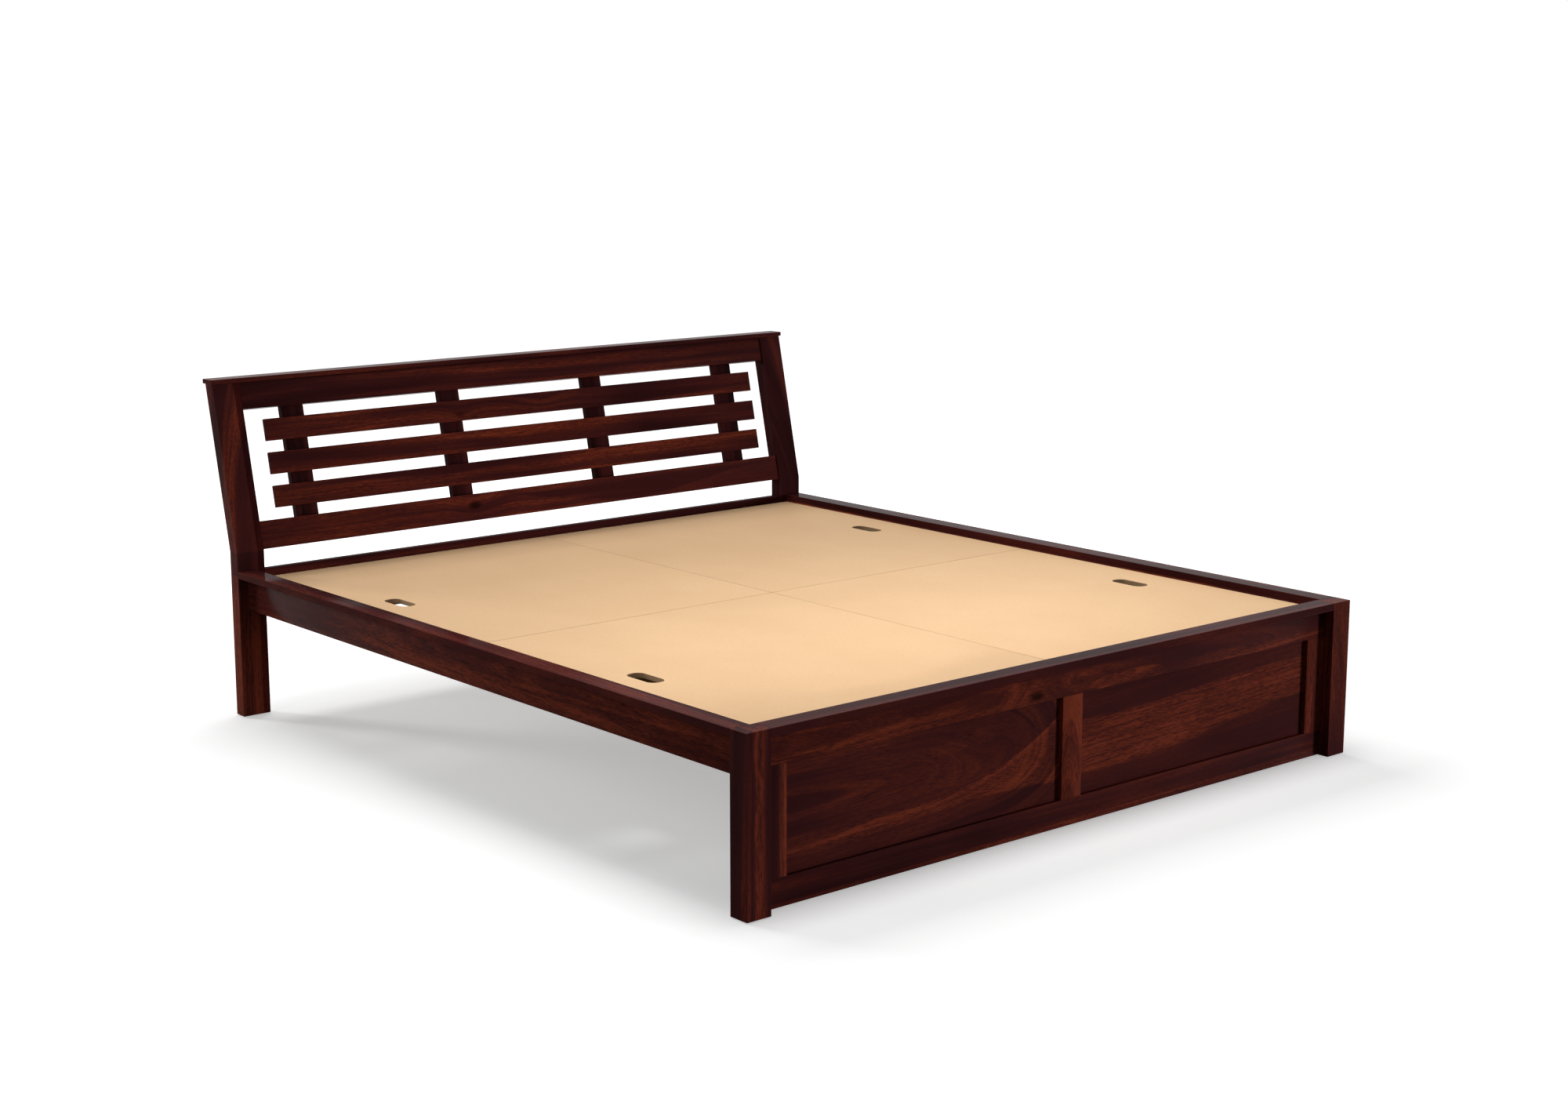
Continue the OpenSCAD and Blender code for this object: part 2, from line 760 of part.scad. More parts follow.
foot_post(left);  // foot_post_left
foot_post(right);  // foot_post_right
foot_rail(foot_top_rail_z, cap_z);  // foot_top_rail
foot_rail(foot_clear, foot_bottom_rail_top);  // foot_bottom_rail
foot_stile(-foot_post_x, -foot_stile_x);  // foot_end_stile_left
foot_stile(foot_stile_x, foot_post_x);  // foot_end_stile_right
foot_stile(-foot_mid_stile_w / 2, foot_mid_stile_w / 2);  // foot_mid_stile
foot_panel(left);  // foot_panel_left
foot_panel(right);  // foot_panel_right
foot_cap();
side_rail(left);  // side_rail_left
side_rail(right);  // side_rail_right
side_cap(left);  // side_cap_left
side_cap(right);  // side_cap_right
head_post(left);  // head_post_left
head_post(right);  // head_post_right
head_bed_rail();
head_lower_rail();
head_top_rail();
head_cap();
head_upright(0);  // head_upright_1
head_upright(1);  // head_upright_2
head_upright(2);  // head_upright_3
head_upright(3);  // head_upright_4
head_slat(0);  // head_slat_lower
head_slat(1);  // head_slat_middle
head_slat(2);  // head_slat_upper
side_ledger(left);  // side_ledger_left
side_ledger(right);  // side_ledger_right
end_ledger(foot);  // foot_ledger
end_ledger(head);  // head_ledger
centre_beam();
cross_bearer(0);  // cross_bearer_1
cross_bearer(1);  // cross_bearer_2
cross_bearer(2);  // cross_bearer_3
cross_bearer(3);  // cross_bearer_4
cross_bearer(4);  // cross_bearer_5
centre_leg(foot);  // centre_leg_foot
centre_leg(head);  // centre_leg_head
deck_panel(left, foot);  // deck_panel_foot_left
deck_panel(right, foot);  // deck_panel_foot_right
deck_panel(left, head);  // deck_panel_head_left
deck_panel(right, head);  // deck_panel_head_right
corner_irons();
corner_screws();
ledger_screws();
slat_screws();
cap_dowels();
head_cap_dowels();
floor_glides();
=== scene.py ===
import math

import bmesh
import bpy
from mathutils import Euler, Matrix, Vector


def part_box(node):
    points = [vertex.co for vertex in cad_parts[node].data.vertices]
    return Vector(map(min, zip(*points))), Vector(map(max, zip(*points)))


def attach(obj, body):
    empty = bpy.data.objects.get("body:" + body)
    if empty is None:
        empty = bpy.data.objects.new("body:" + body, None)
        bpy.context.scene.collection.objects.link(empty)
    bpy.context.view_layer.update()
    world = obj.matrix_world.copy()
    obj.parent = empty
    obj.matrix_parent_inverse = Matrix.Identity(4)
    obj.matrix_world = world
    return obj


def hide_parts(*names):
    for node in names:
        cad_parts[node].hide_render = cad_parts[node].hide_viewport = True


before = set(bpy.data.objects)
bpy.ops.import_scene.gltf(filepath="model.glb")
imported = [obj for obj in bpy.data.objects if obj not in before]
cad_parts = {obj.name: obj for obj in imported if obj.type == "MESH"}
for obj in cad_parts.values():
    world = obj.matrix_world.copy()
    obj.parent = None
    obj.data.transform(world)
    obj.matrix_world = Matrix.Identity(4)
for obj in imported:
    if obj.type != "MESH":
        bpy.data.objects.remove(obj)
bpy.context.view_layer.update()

# How much the edges are eased, and how far a cutter runs past a face
ease = {"steel": 0.0003, "panel": 0.0005, "frame": 0.0006, "rail": 0.0009, "lean": 0.0012}
overrun = 0.01

# Main measures of the bed in metres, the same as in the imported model
bed = {
    "halfWidth": 0.965,
    "recessHalf": 0.913,
    "recessLength": 2.036,
    "top": 0.392,
    "capThickness": 0.018,
    "deckTop": 0.370,
    "deckThickness": 0.012,
    "footPostWidth": 0.064,
    "footPostDepth": 0.053,
    "footFrameThickness": 0.026,
    "headPostWidth": 0.078,
    "headPostDepth": 0.040,
    "bendHeight": 0.441,
    "leanAngle": math.radians(12.7),
    "headRailLength": 0.4442,
    "headCapEdge": 0.004,
    "postBottom": 0.002,
    "fitGap": 0.0002,
    "endGap": 0.001,
}
capBottom = bed["top"] - bed["capThickness"]
deckUnder = bed["deckTop"] - bed["deckThickness"]
footPostX = bed["halfWidth"] - bed["footPostWidth"]
headPostX = bed["halfWidth"] - bed["headPostWidth"]
headCapBottom = bed["bendHeight"] + bed["headRailLength"] * math.cos(bed["leanAngle"])
leanBack = bed["headRailLength"] * math.sin(bed["leanAngle"])
bedLength = bed["footPostDepth"] + bed["recessLength"] + leanBack + bed["headPostDepth"] + bed["headCapEdge"]
footFace = -bedLength / 2
recessFoot = footFace + bed["footPostDepth"]
recessHead = recessFoot + bed["recessLength"]
recessMiddle = (recessFoot + recessHead) / 2
footFrameFace = recessFoot - bed["footFrameThickness"]
bendLine = Vector((0, recessHead, bed["bendHeight"]))


# Working with the mesh tools

def editMesh():
    bpy.ops.object.mode_set(mode="EDIT")


def leaveMesh():
    bpy.ops.object.mode_set(mode="OBJECT")


# Draws the picked faces out along a vector
def pull(way):
    bpy.ops.mesh.extrude_region_move(TRANSFORM_OT_translate={"value": way})


def clearSelection():
    if bpy.context.object and bpy.context.object.mode != "OBJECT":
        leaveMesh()
    bpy.ops.object.select_all(action="DESELECT")


def workOn(piece):
    clearSelection()
    piece.select_set(True)
    bpy.context.view_layer.objects.active = piece


def sawBlock(name, low, high):
    clearSelection()
    low, high = Vector(low), Vector(high)
    bpy.ops.mesh.primitive_cube_add(size=1, location=(low + high) / 2, scale=high - low)
    piece = bpy.context.object
    piece.name = name
    bpy.ops.object.transform_apply()
    return piece


def pickFaces(piece, wanted):
    workOn(piece)
    editMesh()
    bpy.ops.mesh.select_mode(type="FACE")
    bpy.ops.mesh.select_all(action="DESELECT")
    mesh = bmesh.from_edit_mesh(piece.data)
    mesh.normal_update()
    for face in mesh.faces:
        face.select_set(bool(wanted(face.calc_center_median(), face.normal)))
    bmesh.update_edit_mesh(piece.data)
    corners = [v.co.copy() for v in mesh.verts if v.select]
    low = Vector([min(c[i] for c in corners) for i in range(3)])
    high = Vector([max(c[i] for c in corners) for i in range(3)])
    return low, high


def splitAt(piece, point, normal, drop=False):
    workOn(piece)
    editMesh()
    bpy.ops.mesh.select_all(action="SELECT")
    bpy.ops.mesh.bisect(plane_co=point, plane_no=normal, use_fill=drop, clear_outer=drop)
    leaveMesh()


# A tenon: the end face is drawn in to the tenon's section and pulled out to its length
def drawTenon(piece, direction, low, high, length):
    direction = Vector(direction)
    faceLow, faceHigh = pickFaces(piece, lambda centre, normal: normal.dot(direction) > 0.9)
    along = [i for i in range(3) if abs(direction[i]) > 0.5][0]
    low, high = Vector(low), Vector(high)
    shrink = Vector((1, 1, 1))
    shift = Vector((0, 0, 0))
    for i in range(3):
        if i != along:
            shrink[i] = (high[i] - low[i]) / (faceHigh[i] - faceLow[i])
            shift[i] = (high[i] + low[i] - faceHigh[i] - faceLow[i]) / 2
    bpy.ops.mesh.extrude_region_move()
    bpy.ops.transform.resize(value=shrink, center_override=(faceLow + faceHigh) / 2)
    bpy.ops.transform.translate(value=shift)
    pull(direction * length)
    leaveMesh()


def drawTenons(piece, axis, low, high, length):
    for way in (1, -1):
        drawTenon(piece, Vector(axis) * way, low, high, length)


# A tongue: the part of the end face above a level is pulled out
def drawTongue(piece, direction, level, length):
    splitAt(piece, (0, 0, level), (0, 0, 1))
    direction = Vector(direction)
    pickFaces(piece, lambda centre, normal: normal.dot(direction) > 0.9 and centre.z > level)
    pull(direction * length)
    leaveMesh()


def lean(piece):
    workOn(piece)
    bpy.context.scene.cursor.location = bendLine
    bpy.ops.object.origin_set(type="ORIGIN_CURSOR")
    piece.rotation_euler.x = -bed["leanAngle"]
    bpy.ops.object.transform_apply()
    bpy.context.scene.cursor.location = (0, 0, 0)


def subtract(piece, cutter):
    workOn(piece)
    bpy.ops.object.modifier_add(type="BOOLEAN")
    cut = piece.modifiers[-1]
    cut.operation = "DIFFERENCE"
    cut.solver = "EXACT"
    cut.object = cutter
    bpy.ops.object.modifier_apply(modifier=cut.name)
    bpy.data.objects.remove(cutter)


def chop(piece, low, high, leaning=False):
    cutter = sawBlock("chisel", low, high)
    if leaning:
        lean(cutter)
    subtract(piece, cutter)


# Holes at several places, bored from the surface inwards
def drill(piece, places, inwards, diameter, depth, leaning=False, sides=20):
    inwards = Vector(inwards).normalized()
    turn = inwards.to_track_quat("Z", "Y").to_euler()
    for place in places:
        clearSelection()
        middle = Vector(place) + inwards * (depth / 2 - 0.001)
        bpy.ops.mesh.primitive_cylinder_add(
            vertices=sides, radius=diameter / 2, depth=depth + 0.002, location=middle, rotation=turn)
        bit = bpy.context.object
        bpy.ops.object.transform_apply()
        if leaning:
            lean(bit)
        subtract(piece, bit)


def roundEdges(piece, wanted, width, steps):
    workOn(piece)
    editMesh()
    bpy.ops.mesh.select_mode(type="EDGE")
    bpy.ops.mesh.select_all(action="DESELECT")
    mesh = bmesh.from_edit_mesh(piece.data)
    mesh.normal_update()
    for edge in mesh.edges:
        edge.select_set(bool(wanted(edge)))
    bmesh.update_edit_mesh(piece.data)
    bpy.ops.mesh.bevel(offset=width, segments=steps, profile=0.5, clamp_overlap=False)


# Long outer edges are eased as with a block of sandpaper
def easeEdges(piece, width, shortest=0.008, steps=2):
    def isSharp(edge):
        sharp = len(edge.link_faces) == 2 and edge.is_convex and edge.calc_face_angle(0) > 0.6
        return sharp and edge.calc_length() > shortest
    roundEdges(piece, isSharp, width, steps)
    bpy.ops.mesh.select_all(action="SELECT")
    bpy.ops.mesh.normals_make_consistent(inside=False)
    leaveMesh()


def isUpright(edge):
    a, b = (v.co for v in edge.verts)
    return abs(a.z - b.z) > 0.01


def settle(piece, node, body, finish):
    workOn(piece)
    bpy.ops.object.transform_apply()
    bpy.ops.object.shade_smooth_by_angle(angle=math.radians(21))
    piece.data.materials.clear()
    piece.data.materials.append(finish)
    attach(piece, body)
    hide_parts(node)


# Materials

def paint(red, green, blue):
    def straight(value):
        value /= 255
        return value / 12.92 if value <= 0.04045 else ((value + 0.055) / 1.055) ** 2.4
    return (straight(red), straight(green), straight(blue), 1)


# The node tree that is being worked on
bench = {}


def newFinish(name):
    finish = bpy.data.materials.new(name)
    finish.use_nodes = True
    bench["tree"] = finish.node_tree
    return finish, finish.node_tree.nodes["Principled BSDF"].inputs


def newNode(kind):
    return bench["tree"].nodes.new("ShaderNode" + kind)


def feed(socket, value):
    if isinstance(value, bpy.types.NodeSocket):
        bench["tree"].links.new(value, socket)
    else:
        socket.default_value = value


def calc(operation, *values):
    node = newNode("Math")
    node.operation = operation
    for socket, value in zip(node.inputs, values):
        feed(socket, value)
    return node.outputs[0]


def plus(a, b):
    return calc("ADD", a, b)


def minus(a, b):
    return calc("SUBTRACT", a, b)


def times(a, b):
    return calc("MULTIPLY", a, b)


def timesPlus(a, b, c):
    return calc("MULTIPLY_ADD", a, b, c)


def distanceOf(a, b):
    return calc("SQRT", plus(times(a, a), times(b, b)))


def ownPlace():
    return newNode("TexCoord").outputs["Object"]


def mapped(setting, values):
    node = newNode("Mapping")
    node.inputs[setting].default_value = values
    feed(node.inputs["Vector"], ownPlace())
    return node.outputs[0]


def parted(value):
    node = newNode("SeparateXYZ")
    feed(node.inputs[0], value)
    return node.outputs


def addBump(shader, height, strength, distance):
    bump = newNode("Bump")
    bump.inputs["Strength"].default_value = strength
    bump.inputs["Distance"].default_value = distance
    feed(bump.inputs["Height"], height)
    feed(shader["Normal"], bump.outputs[0])


def vector(x, y, z):
    node = newNode("CombineXYZ")
    for socket, value in zip(node.inputs, (x, y, z)):
        feed(socket, value)
    return node.outputs[0]


def stretch(value, fromLow, fromHigh, toLow=0.0, toHigh=1.0, smooth=False):
    node = newNode("MapRange")
    node.interpolation_type = "SMOOTHSTEP" if smooth else "LINEAR"
    for socket, number in zip(node.inputs, (value, fromLow, fromHigh, toLow, toHigh)):
        feed(socket, number)
    return node.outputs[0]


def cloud(place, detail=3.0, roughness=0.5):
    node = newNode("TexNoise")
    feed(node.inputs["Vector"], place)
    feed(node.inputs["Scale"], 1.0)
    feed(node.inputs["Detail"], detail)
    feed(node.inputs["Roughness"], roughness)
    return node.outputs["Fac"]


def blend(amount, first, second, kind="MIX"):
    node = newNode("Mix")
    node.data_type = "RGBA"
    node.blend_type = kind
    feed(node.inputs["Factor"], amount)
    feed(node.inputs["A"], first)
    feed(node.inputs["B"], second)
    return node.outputs["Result"]


def shades(value, stops):
    node = newNode("ValToRGB")
    ramp = node.color_ramp
    while len(ramp.elements) < len(stops):
        ramp.elements.new(0.5)
    for element, (position, colour) in zip(ramp.elements, stops):
        element.position = position
        element.color = colour
    feed(node.inputs["Fac"], value)
    return node.outputs["Color"]


# The height of a drawn line over the grain, from a few points (along, across)
def drawnLine(along, points):
    first, last = points[0][0], points[-1][0]
    heights = [p[1] for p in points]
    low, high = min(heights) - 0.01, max(heights) + 0.01
    node = newNode("FloatCurve")
    curve = node.mapping.curves[0]
    while len(curve.points) < len(points):
        curve.points.new(0.5, 0.5)
    for spot, (a, h) in zip(curve.points, points):
        spot.location = ((a - first) / (last - first), (h - low) / (high - low))
    node.mapping.update()
    feed(node.inputs["Value"], stretch(along, first, last))
    return stretch(node.outputs[0], 0.0, 1.0, low, high)


grainTurn = {
    "x": (0, 0, 0),
    "y": (0, 0, -math.pi / 2),
    "z": (0, math.pi / 2, 0),
    "leaningX": (bed["leanAngle"], 0, 0),
    "leaningZ": (bed["leanAngle"], math.pi / 2, 0),
}

darkStain = {
    "shadow": paint(38, 16, 18),
    "heart": paint(72, 32, 33),
    "warm": paint(99, 43, 34),
    "flame": paint(143, 64, 44),
    "knot": paint(22, 8, 8),
    "roughness": 0.27,
    "gloss": 0.007,
    "zones": 34.0,
    "lines": 165.0,
    "zoneContrast": 0.8,
    "lineContrast": 0.85,
}

rawWood = {
    "shadow": paint(150, 112, 74),
    "heart": paint(182, 143, 98),
    "warm": paint(204, 168, 122),
    "flame": paint(222, 190, 146),
    "knot": paint(96, 62, 38),
    "roughness": 0.62,
    "gloss": 0.3,
    "zones": 30.0,
    "lines": 260.0,
    "zoneContrast": 0.9,
    "lineContrast": 0.5,
}


# A drawn streak along the grain, and one that fills the space between two drawn lines. Most are grain
# figure; a few are painted shade and painted light.
def stroke(line, width, lift, **more):
    return {"line": line, "width": width, "lift": lift, **more}


def band(top, bottom, lift, **more):
    return {"top": top, "bottom": bottom, "lift": lift, **more}


# Solid wood: growth rings round a pith line, with fine lines, pores, streaks, knots and rubbed edges; a few
# streaks are painted shade and painted light
def woodFinish(name, piece, look, stain):
    finish, shader = newFinish(name)
    turn = Euler(grainTurn[look["grain"]])
    seed = look["seed"]
    corners = [turn.to_matrix() @ v.co for v in piece.data.vertices]
    low = [min(c[i] for c in corners) for i in range(3)]
    high = [max(c[i] for c in corners) for i in range(3)]

    along, deep, across = parted(mapped("Rotation", turn))

    # the rings wander slowly along the board
    wander = cloud(vector(timesPlus(along, 1.6, seed * 3.1), times(deep, 7.0), times(across, 9.0)), 2.0)
    swing = timesPlus(wander, look["swing"], -look["swing"] / 2)
    if "axis" in look:
        centre = drawnLine(along, look["axis"])
        depth = drawnLine(along, look["dive"])
    else:
        pithAcross, pithDeep = look["pith"]
        centre = timesPlus(along, look.get("rise", 0.0), pithAcross)
        depth = timesPlus(along, look["tilt"], plus(deep, pithDeep - low[1]))
    height = plus(minus(across, centre), swing)
    ring = distanceOf(height, depth)
    knotCore = None
    for knotAlong, knotAcross, knotSize, darkness in look.get("knots", []):
        da = times(minus(along, knotAlong), 0.5)
        dc = minus(across, knotAcross)
        distance = distanceOf(da, dc)
        push = stretch(distance, 0.0, knotSize * 4, knotSize * 1.2, 0.0, smooth=True)
        ring = plus(ring, push)
        core = stretch(distance, knotSize * 0.25, knotSize, darkness, 0.0, smooth=True)
        knotCore = core if knotCore is None else calc("MAXIMUM", knotCore, core)

    zones = cloud(vector(timesPlus(ring, stain["zones"], seed * 7.7), times(along, 0.9), seed * 1.3), 2.6)
    lines = cloud(vector(times(ring, stain["lines"]), timesPlus(along, 5.0, seed), seed * 2.9), 3.0, 0.75)
    fibre = cloud(vector(times(along, 48.0), times(deep, 520.0), times(across, 520.0)), 3.0, 0.7)
    mottle = cloud(vector(timesPlus(along, 2.2, seed * 5.0), times(deep, 5.0), times(across, 6.0)), 2.0)
    pores = stretch(fibre, 0.60, 0.72)

    # the zones have fairly sharp borders and calm middles
    zones = stretch(zones, 0.37, 0.63, 0.3, 0.7, smooth=True)
    zoneContrast = stain["zoneContrast"] * look.get("zoneShare", 1.0)
    tone = timesPlus(zones, zoneContrast, look["tone"] - zoneContrast / 2)
    tone = timesPlus(mottle, 0.3, minus(tone, 0.15))
    for streak in look.get("streaks", []):
        if "line" in streak:
            middle = drawnLine(along, streak["line"])
            gap = calc("ABSOLUTE", minus(across, middle))
            gap = timesPlus(lines, streak["width"] * 0.9, minus(gap, streak["width"] * 0.45))
            core = streak["width"] * streak.get("hard", 0.4)
            mask = stretch(gap, streak["width"], core, smooth=True)
        else:
            wavy = timesPlus(lines, 0.010, minus(across, 0.005))
            topSoft, bottomSoft = streak.get("soft", (0.003, 0.012))
            below = minus(drawnLine(along, streak["top"]), wavy)
            above = minus(wavy, drawnLine(along, streak["bottom"]))
            mask = times(stretch(below, 0.0, topSoft, smooth=True),
                stretch(above, 0.0, bottomSoft, smooth=True))
        if "span" in streak:
            start, end = streak["span"]
            fade = streak.get("fade", 0.08)
            mask = times(mask, stretch(along, start - fade, start + fade, smooth=True))
            mask = times(mask, stretch(along, end + fade, end - fade, smooth=True))
        tone = timesPlus(mask, streak["lift"], tone)

    # the light zones show their lines and fibres, the dark heartwood is calm
    lively = stretch(tone, 0.44, 0.68, 0.16, 1.4)
    detail = timesPlus(lines, stain["lineContrast"], -stain["lineContrast"] / 2)
    detail = timesPlus(fibre, 1.1, minus(detail, 0.55))
    tone = timesPlus(detail, lively, tone)

    colour = shades(tone, [(0.08, stain["shadow"]), (0.42, stain["heart"]), (0.66, stain["warm"]),
        (1.0, stain["flame"])])
    colour = blend(times(pores, 0.35), colour, stain["knot"])
    if knotCore is not None:
        colour = blend(knotCore, colour, stain["knot"])
    if "strip" in look:
        side, edge, tint = look["strip"]
        inStrip = stretch(times(minus(across, edge), side), -0.0003, 0.0003)
        colour = blend(times(inStrip, 0.75), colour, tint, "MULTIPLY")

    # how far a point lies from the nearest long edge
    faces = []
    for i, value in enumerate((along, deep, across)):
        faces.append(calc("MINIMUM", calc("ABSOLUTE", minus(value, low[i])),
            calc("ABSOLUTE", minus(value, high[i]))))
    edge = calc("MAXIMUM", calc("MINIMUM", faces[0], faces[1]),
        calc("MINIMUM", calc("MAXIMUM", faces[0], faces[1]), faces[2]))
    rubbed = stretch(timesPlus(fibre, 0.004, plus(edge, -0.002)), 0.0022, 0.0004, smooth=True)
    rubbed = times(rubbed, stretch(mottle, 0.4, 0.6, 0.1, 0.4))
    colour = blend(rubbed, colour, stain["warm"])

    shade = stretch(mottle, 0.3, 0.7, look.get("gain", 1.0) * 0.9, look.get("gain", 1.0) * 1.1)
    scale = newNode("VectorMath")
    scale.operation = "SCALE"
    feed(scale.inputs[0], colour)
    feed(scale.inputs["Scale"], shade)
    feed(shader["Base Color"], scale.outputs[0])

    sheen = timesPlus(mottle, 0.12, look.get("roughness", stain["roughness"]) - 0.06)
    sheen = timesPlus(rubbed, 0.12, timesPlus(pores, 0.15, sheen))
    feed(shader["Roughness"], sheen)
    feed(shader["Specular IOR Level"], look.get("gloss", stain["gloss"]))
    addBump(shader, timesPlus(lines, 0.5, times(pores, -0.7)), 0.22, 0.0006)
    return finish


boardLook = {
    "face": paint(240, 199, 154),
    "fleck": paint(232, 189, 143),
    "bright": paint(243, 203, 158),
    "edge": paint(196, 160, 122),
    "roughness": 0.62,
    "gloss": 0.08,
}


# Pressed fibre board with a smooth face and a darker sawn edge
def boardFinish(name, seed):
    finish, shader = newFinish(name)
    x, y, z = parted(ownPlace())
    broad = cloud(vector(timesPlus(x, 5.0, seed), times(y, 4.0), seed), 3.0)
    fleck = cloud(vector(times(x, 160.0), timesPlus(y, 110.0, seed), times(z, 160.0)), 3.0, 0.7)
    fuzz = cloud(vector(times(x, 900.0), times(y, 900.0), times(z, 900.0)), 2.0, 0.6)
    colour = blend(stretch(broad, 0.35, 0.65), boardLook["face"], boardLook["bright"])
    colour = blend(stretch(fleck, 0.52, 0.72, 0.0, 0.55), colour, boardLook["fleck"])
    level = calc("ABSOLUTE", parted(newNode("NewGeometry").outputs["Normal"])[2])
    sawn = stretch(level, 0.9, 0.3, 0.0, 0.85)
    colour = blend(sawn, colour, boardLook["edge"])
    feed(shader["Base Color"], colour)
    feed(shader["Roughness"], timesPlus(fleck, 0.18, boardLook["roughness"] - 0.09))
    feed(shader["Specular IOR Level"], boardLook["gloss"])
    addBump(shader, plus(fleck, times(fuzz, 0.6)), 0.15, 0.0004)
    return finish


zincLook = {"bright": paint(196, 198, 200), "dull": paint(150, 152, 156), "roughness": 0.34}


# Bright zinc plate with a faint mottle and fine scratches
def zincFinish(name):
    finish, shader = newFinish(name)
    spangle = cloud(mapped("Scale", (90, 90, 90)), 3.0, 0.6)
    scratch = cloud(mapped("Scale", (2500, 160, 2500)), 2.0, 0.7)
    feed(shader["Base Color"], blend(stretch(spangle, 0.35, 0.65), zincLook["dull"], zincLook["bright"]))
    feed(shader["Metallic"], 1.0)
    feed(shader["Roughness"], timesPlus(spangle, 0.2, timesPlus(scratch, 0.1, zincLook["roughness"] - 0.15)))
    addBump(shader, scratch, 0.1, 0.0002)
    return finish


glideLook = {"body": paint(34, 34, 35), "scuffed": paint(74, 72, 70), "roughness": 0.46}


# Black moulded plastic, scuffed grey where it has slid over a floor
def glideFinish(name):
    finish, shader = newFinish(name)
    grain = cloud(mapped("Scale", (700, 700, 700)), 3.0, 0.6)
    scuff = stretch(cloud(mapped("Scale", (300, 60, 60)), 3.0, 0.6), 0.52, 0.7)
    feed(shader["Base Color"], blend(times(scuff, 0.5), glideLook["body"], glideLook["scuffed"]))
    feed(shader["Roughness"], timesPlus(grain, 0.2, glideLook["roughness"] - 0.1))
    addBump(shader, grain, 0.2, 0.0002)
    return finish


def finishWood(piece, node, look, stain=darkStain):
    finish = woodFinish(node + "_finish", piece, look, stain)
    settle(piece, node, "frame", finish)


# Foot end

joinery = {"tenon": 0.008, "tenonInset": 0.001, "shoulder": 0.010, "stileTenon": 0.022,
    "postTenon": 0.016, "sideTenonLength": 0.022, "panel": 0.015, "panelLap": 0.007}
sideRail = {"half": 0.0125, "low": 0.287, "tenonHalf": 0.005, "tenonLow": 0.297, "tenonHigh": 0.364}
footTenonY = footFrameFace + bed["footFrameThickness"] / 2 - joinery["tenon"] / 2 - joinery["tenonInset"]
topRail = {"low": 0.305, "high": capBottom}
bottomRail = {"low": 0.004, "high": 0.067}
stileEdge = footPostX - 0.063
midStileHalf = 0.032
railCentre = bed["recessHalf"] + sideRail["half"]
footPostCentre = bed["halfWidth"] - bed["footPostWidth"] / 2
headPostCentre = bed["halfWidth"] - bed["headPostWidth"] / 2


# How far a mortise runs into a post, from just outside its inner face to past the tenon's end
def mortiseRun(side, face, tenon):
    return sorted((side * (face - overrun), side * (face + tenon + bed["endGap"])))


# The mortise for a side rail, between two places along the bed
def chopSideMortise(post, side, near, far):
    x, half, gap = side * railCentre, sideRail["tenonHalf"], bed["fitGap"]
    chop(post, (x - half - gap, near, sideRail["tenonLow"] - gap),
        (x + half + gap, far, sideRail["tenonHigh"] + gap))


# A plain block that fills the box of its node
def makePlain(node, look, easing):
    low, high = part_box(node)
    piece = sawBlock(node + "_wood", low, high)
    easeEdges(piece, easing)
    finishWood(piece, node, look)


footPostLook = {
    -1: {"grain": "z", "seed": 4.9, "tone": 0.49, "swing": 0.03, "pith": (0.80, 0.16), "tilt": 0.02,
        "streaks": [
            stroke([(0.0, 0.934), (0.045, 0.934), (0.12, 0.930), (0.195, 0.939), (0.267, 0.925),
                (0.329, 0.942), (0.392, 0.938)], 0.010, 0.2, hard=0.1),
            stroke([(0.0, 0.948), (0.12, 0.950), (0.26, 0.948), (0.392, 0.952)], 0.006, -0.12)]},
    1: {"grain": "z", "seed": 9.1, "tone": 0.52, "swing": 0.04, "pith": (-0.85, 0.2), "tilt": 0.05},
}


def makeFootPost(side, node):
    x, half = side * footPostCentre, bed["footPostWidth"] / 2
    gap = bed["fitGap"]
    post = sawBlock(node + "_wood", (x - half, footFace, bed["postBottom"]),
        (x + half, recessFoot, bed["top"]))
    ends = mortiseRun(side, footPostX, joinery["postTenon"])
    for rail in (topRail, bottomRail):
        chop(post, (ends[0], footTenonY - gap, rail["low"] + joinery["shoulder"] - gap),
            (ends[1], footTenonY + joinery["tenon"] + gap, rail["high"] - joinery["shoulder"] + gap))
    mortiseEnd = recessFoot - joinery["sideTenonLength"] - bed["endGap"]
    chopSideMortise(post, side, mortiseEnd, recessFoot + overrun)
    easeEdges(post, ease["rail"])
    finishWood(post, node, footPostLook[side])


makeFootPost(-1, "foot_post_left")
makeFootPost(1, "foot_post_right")

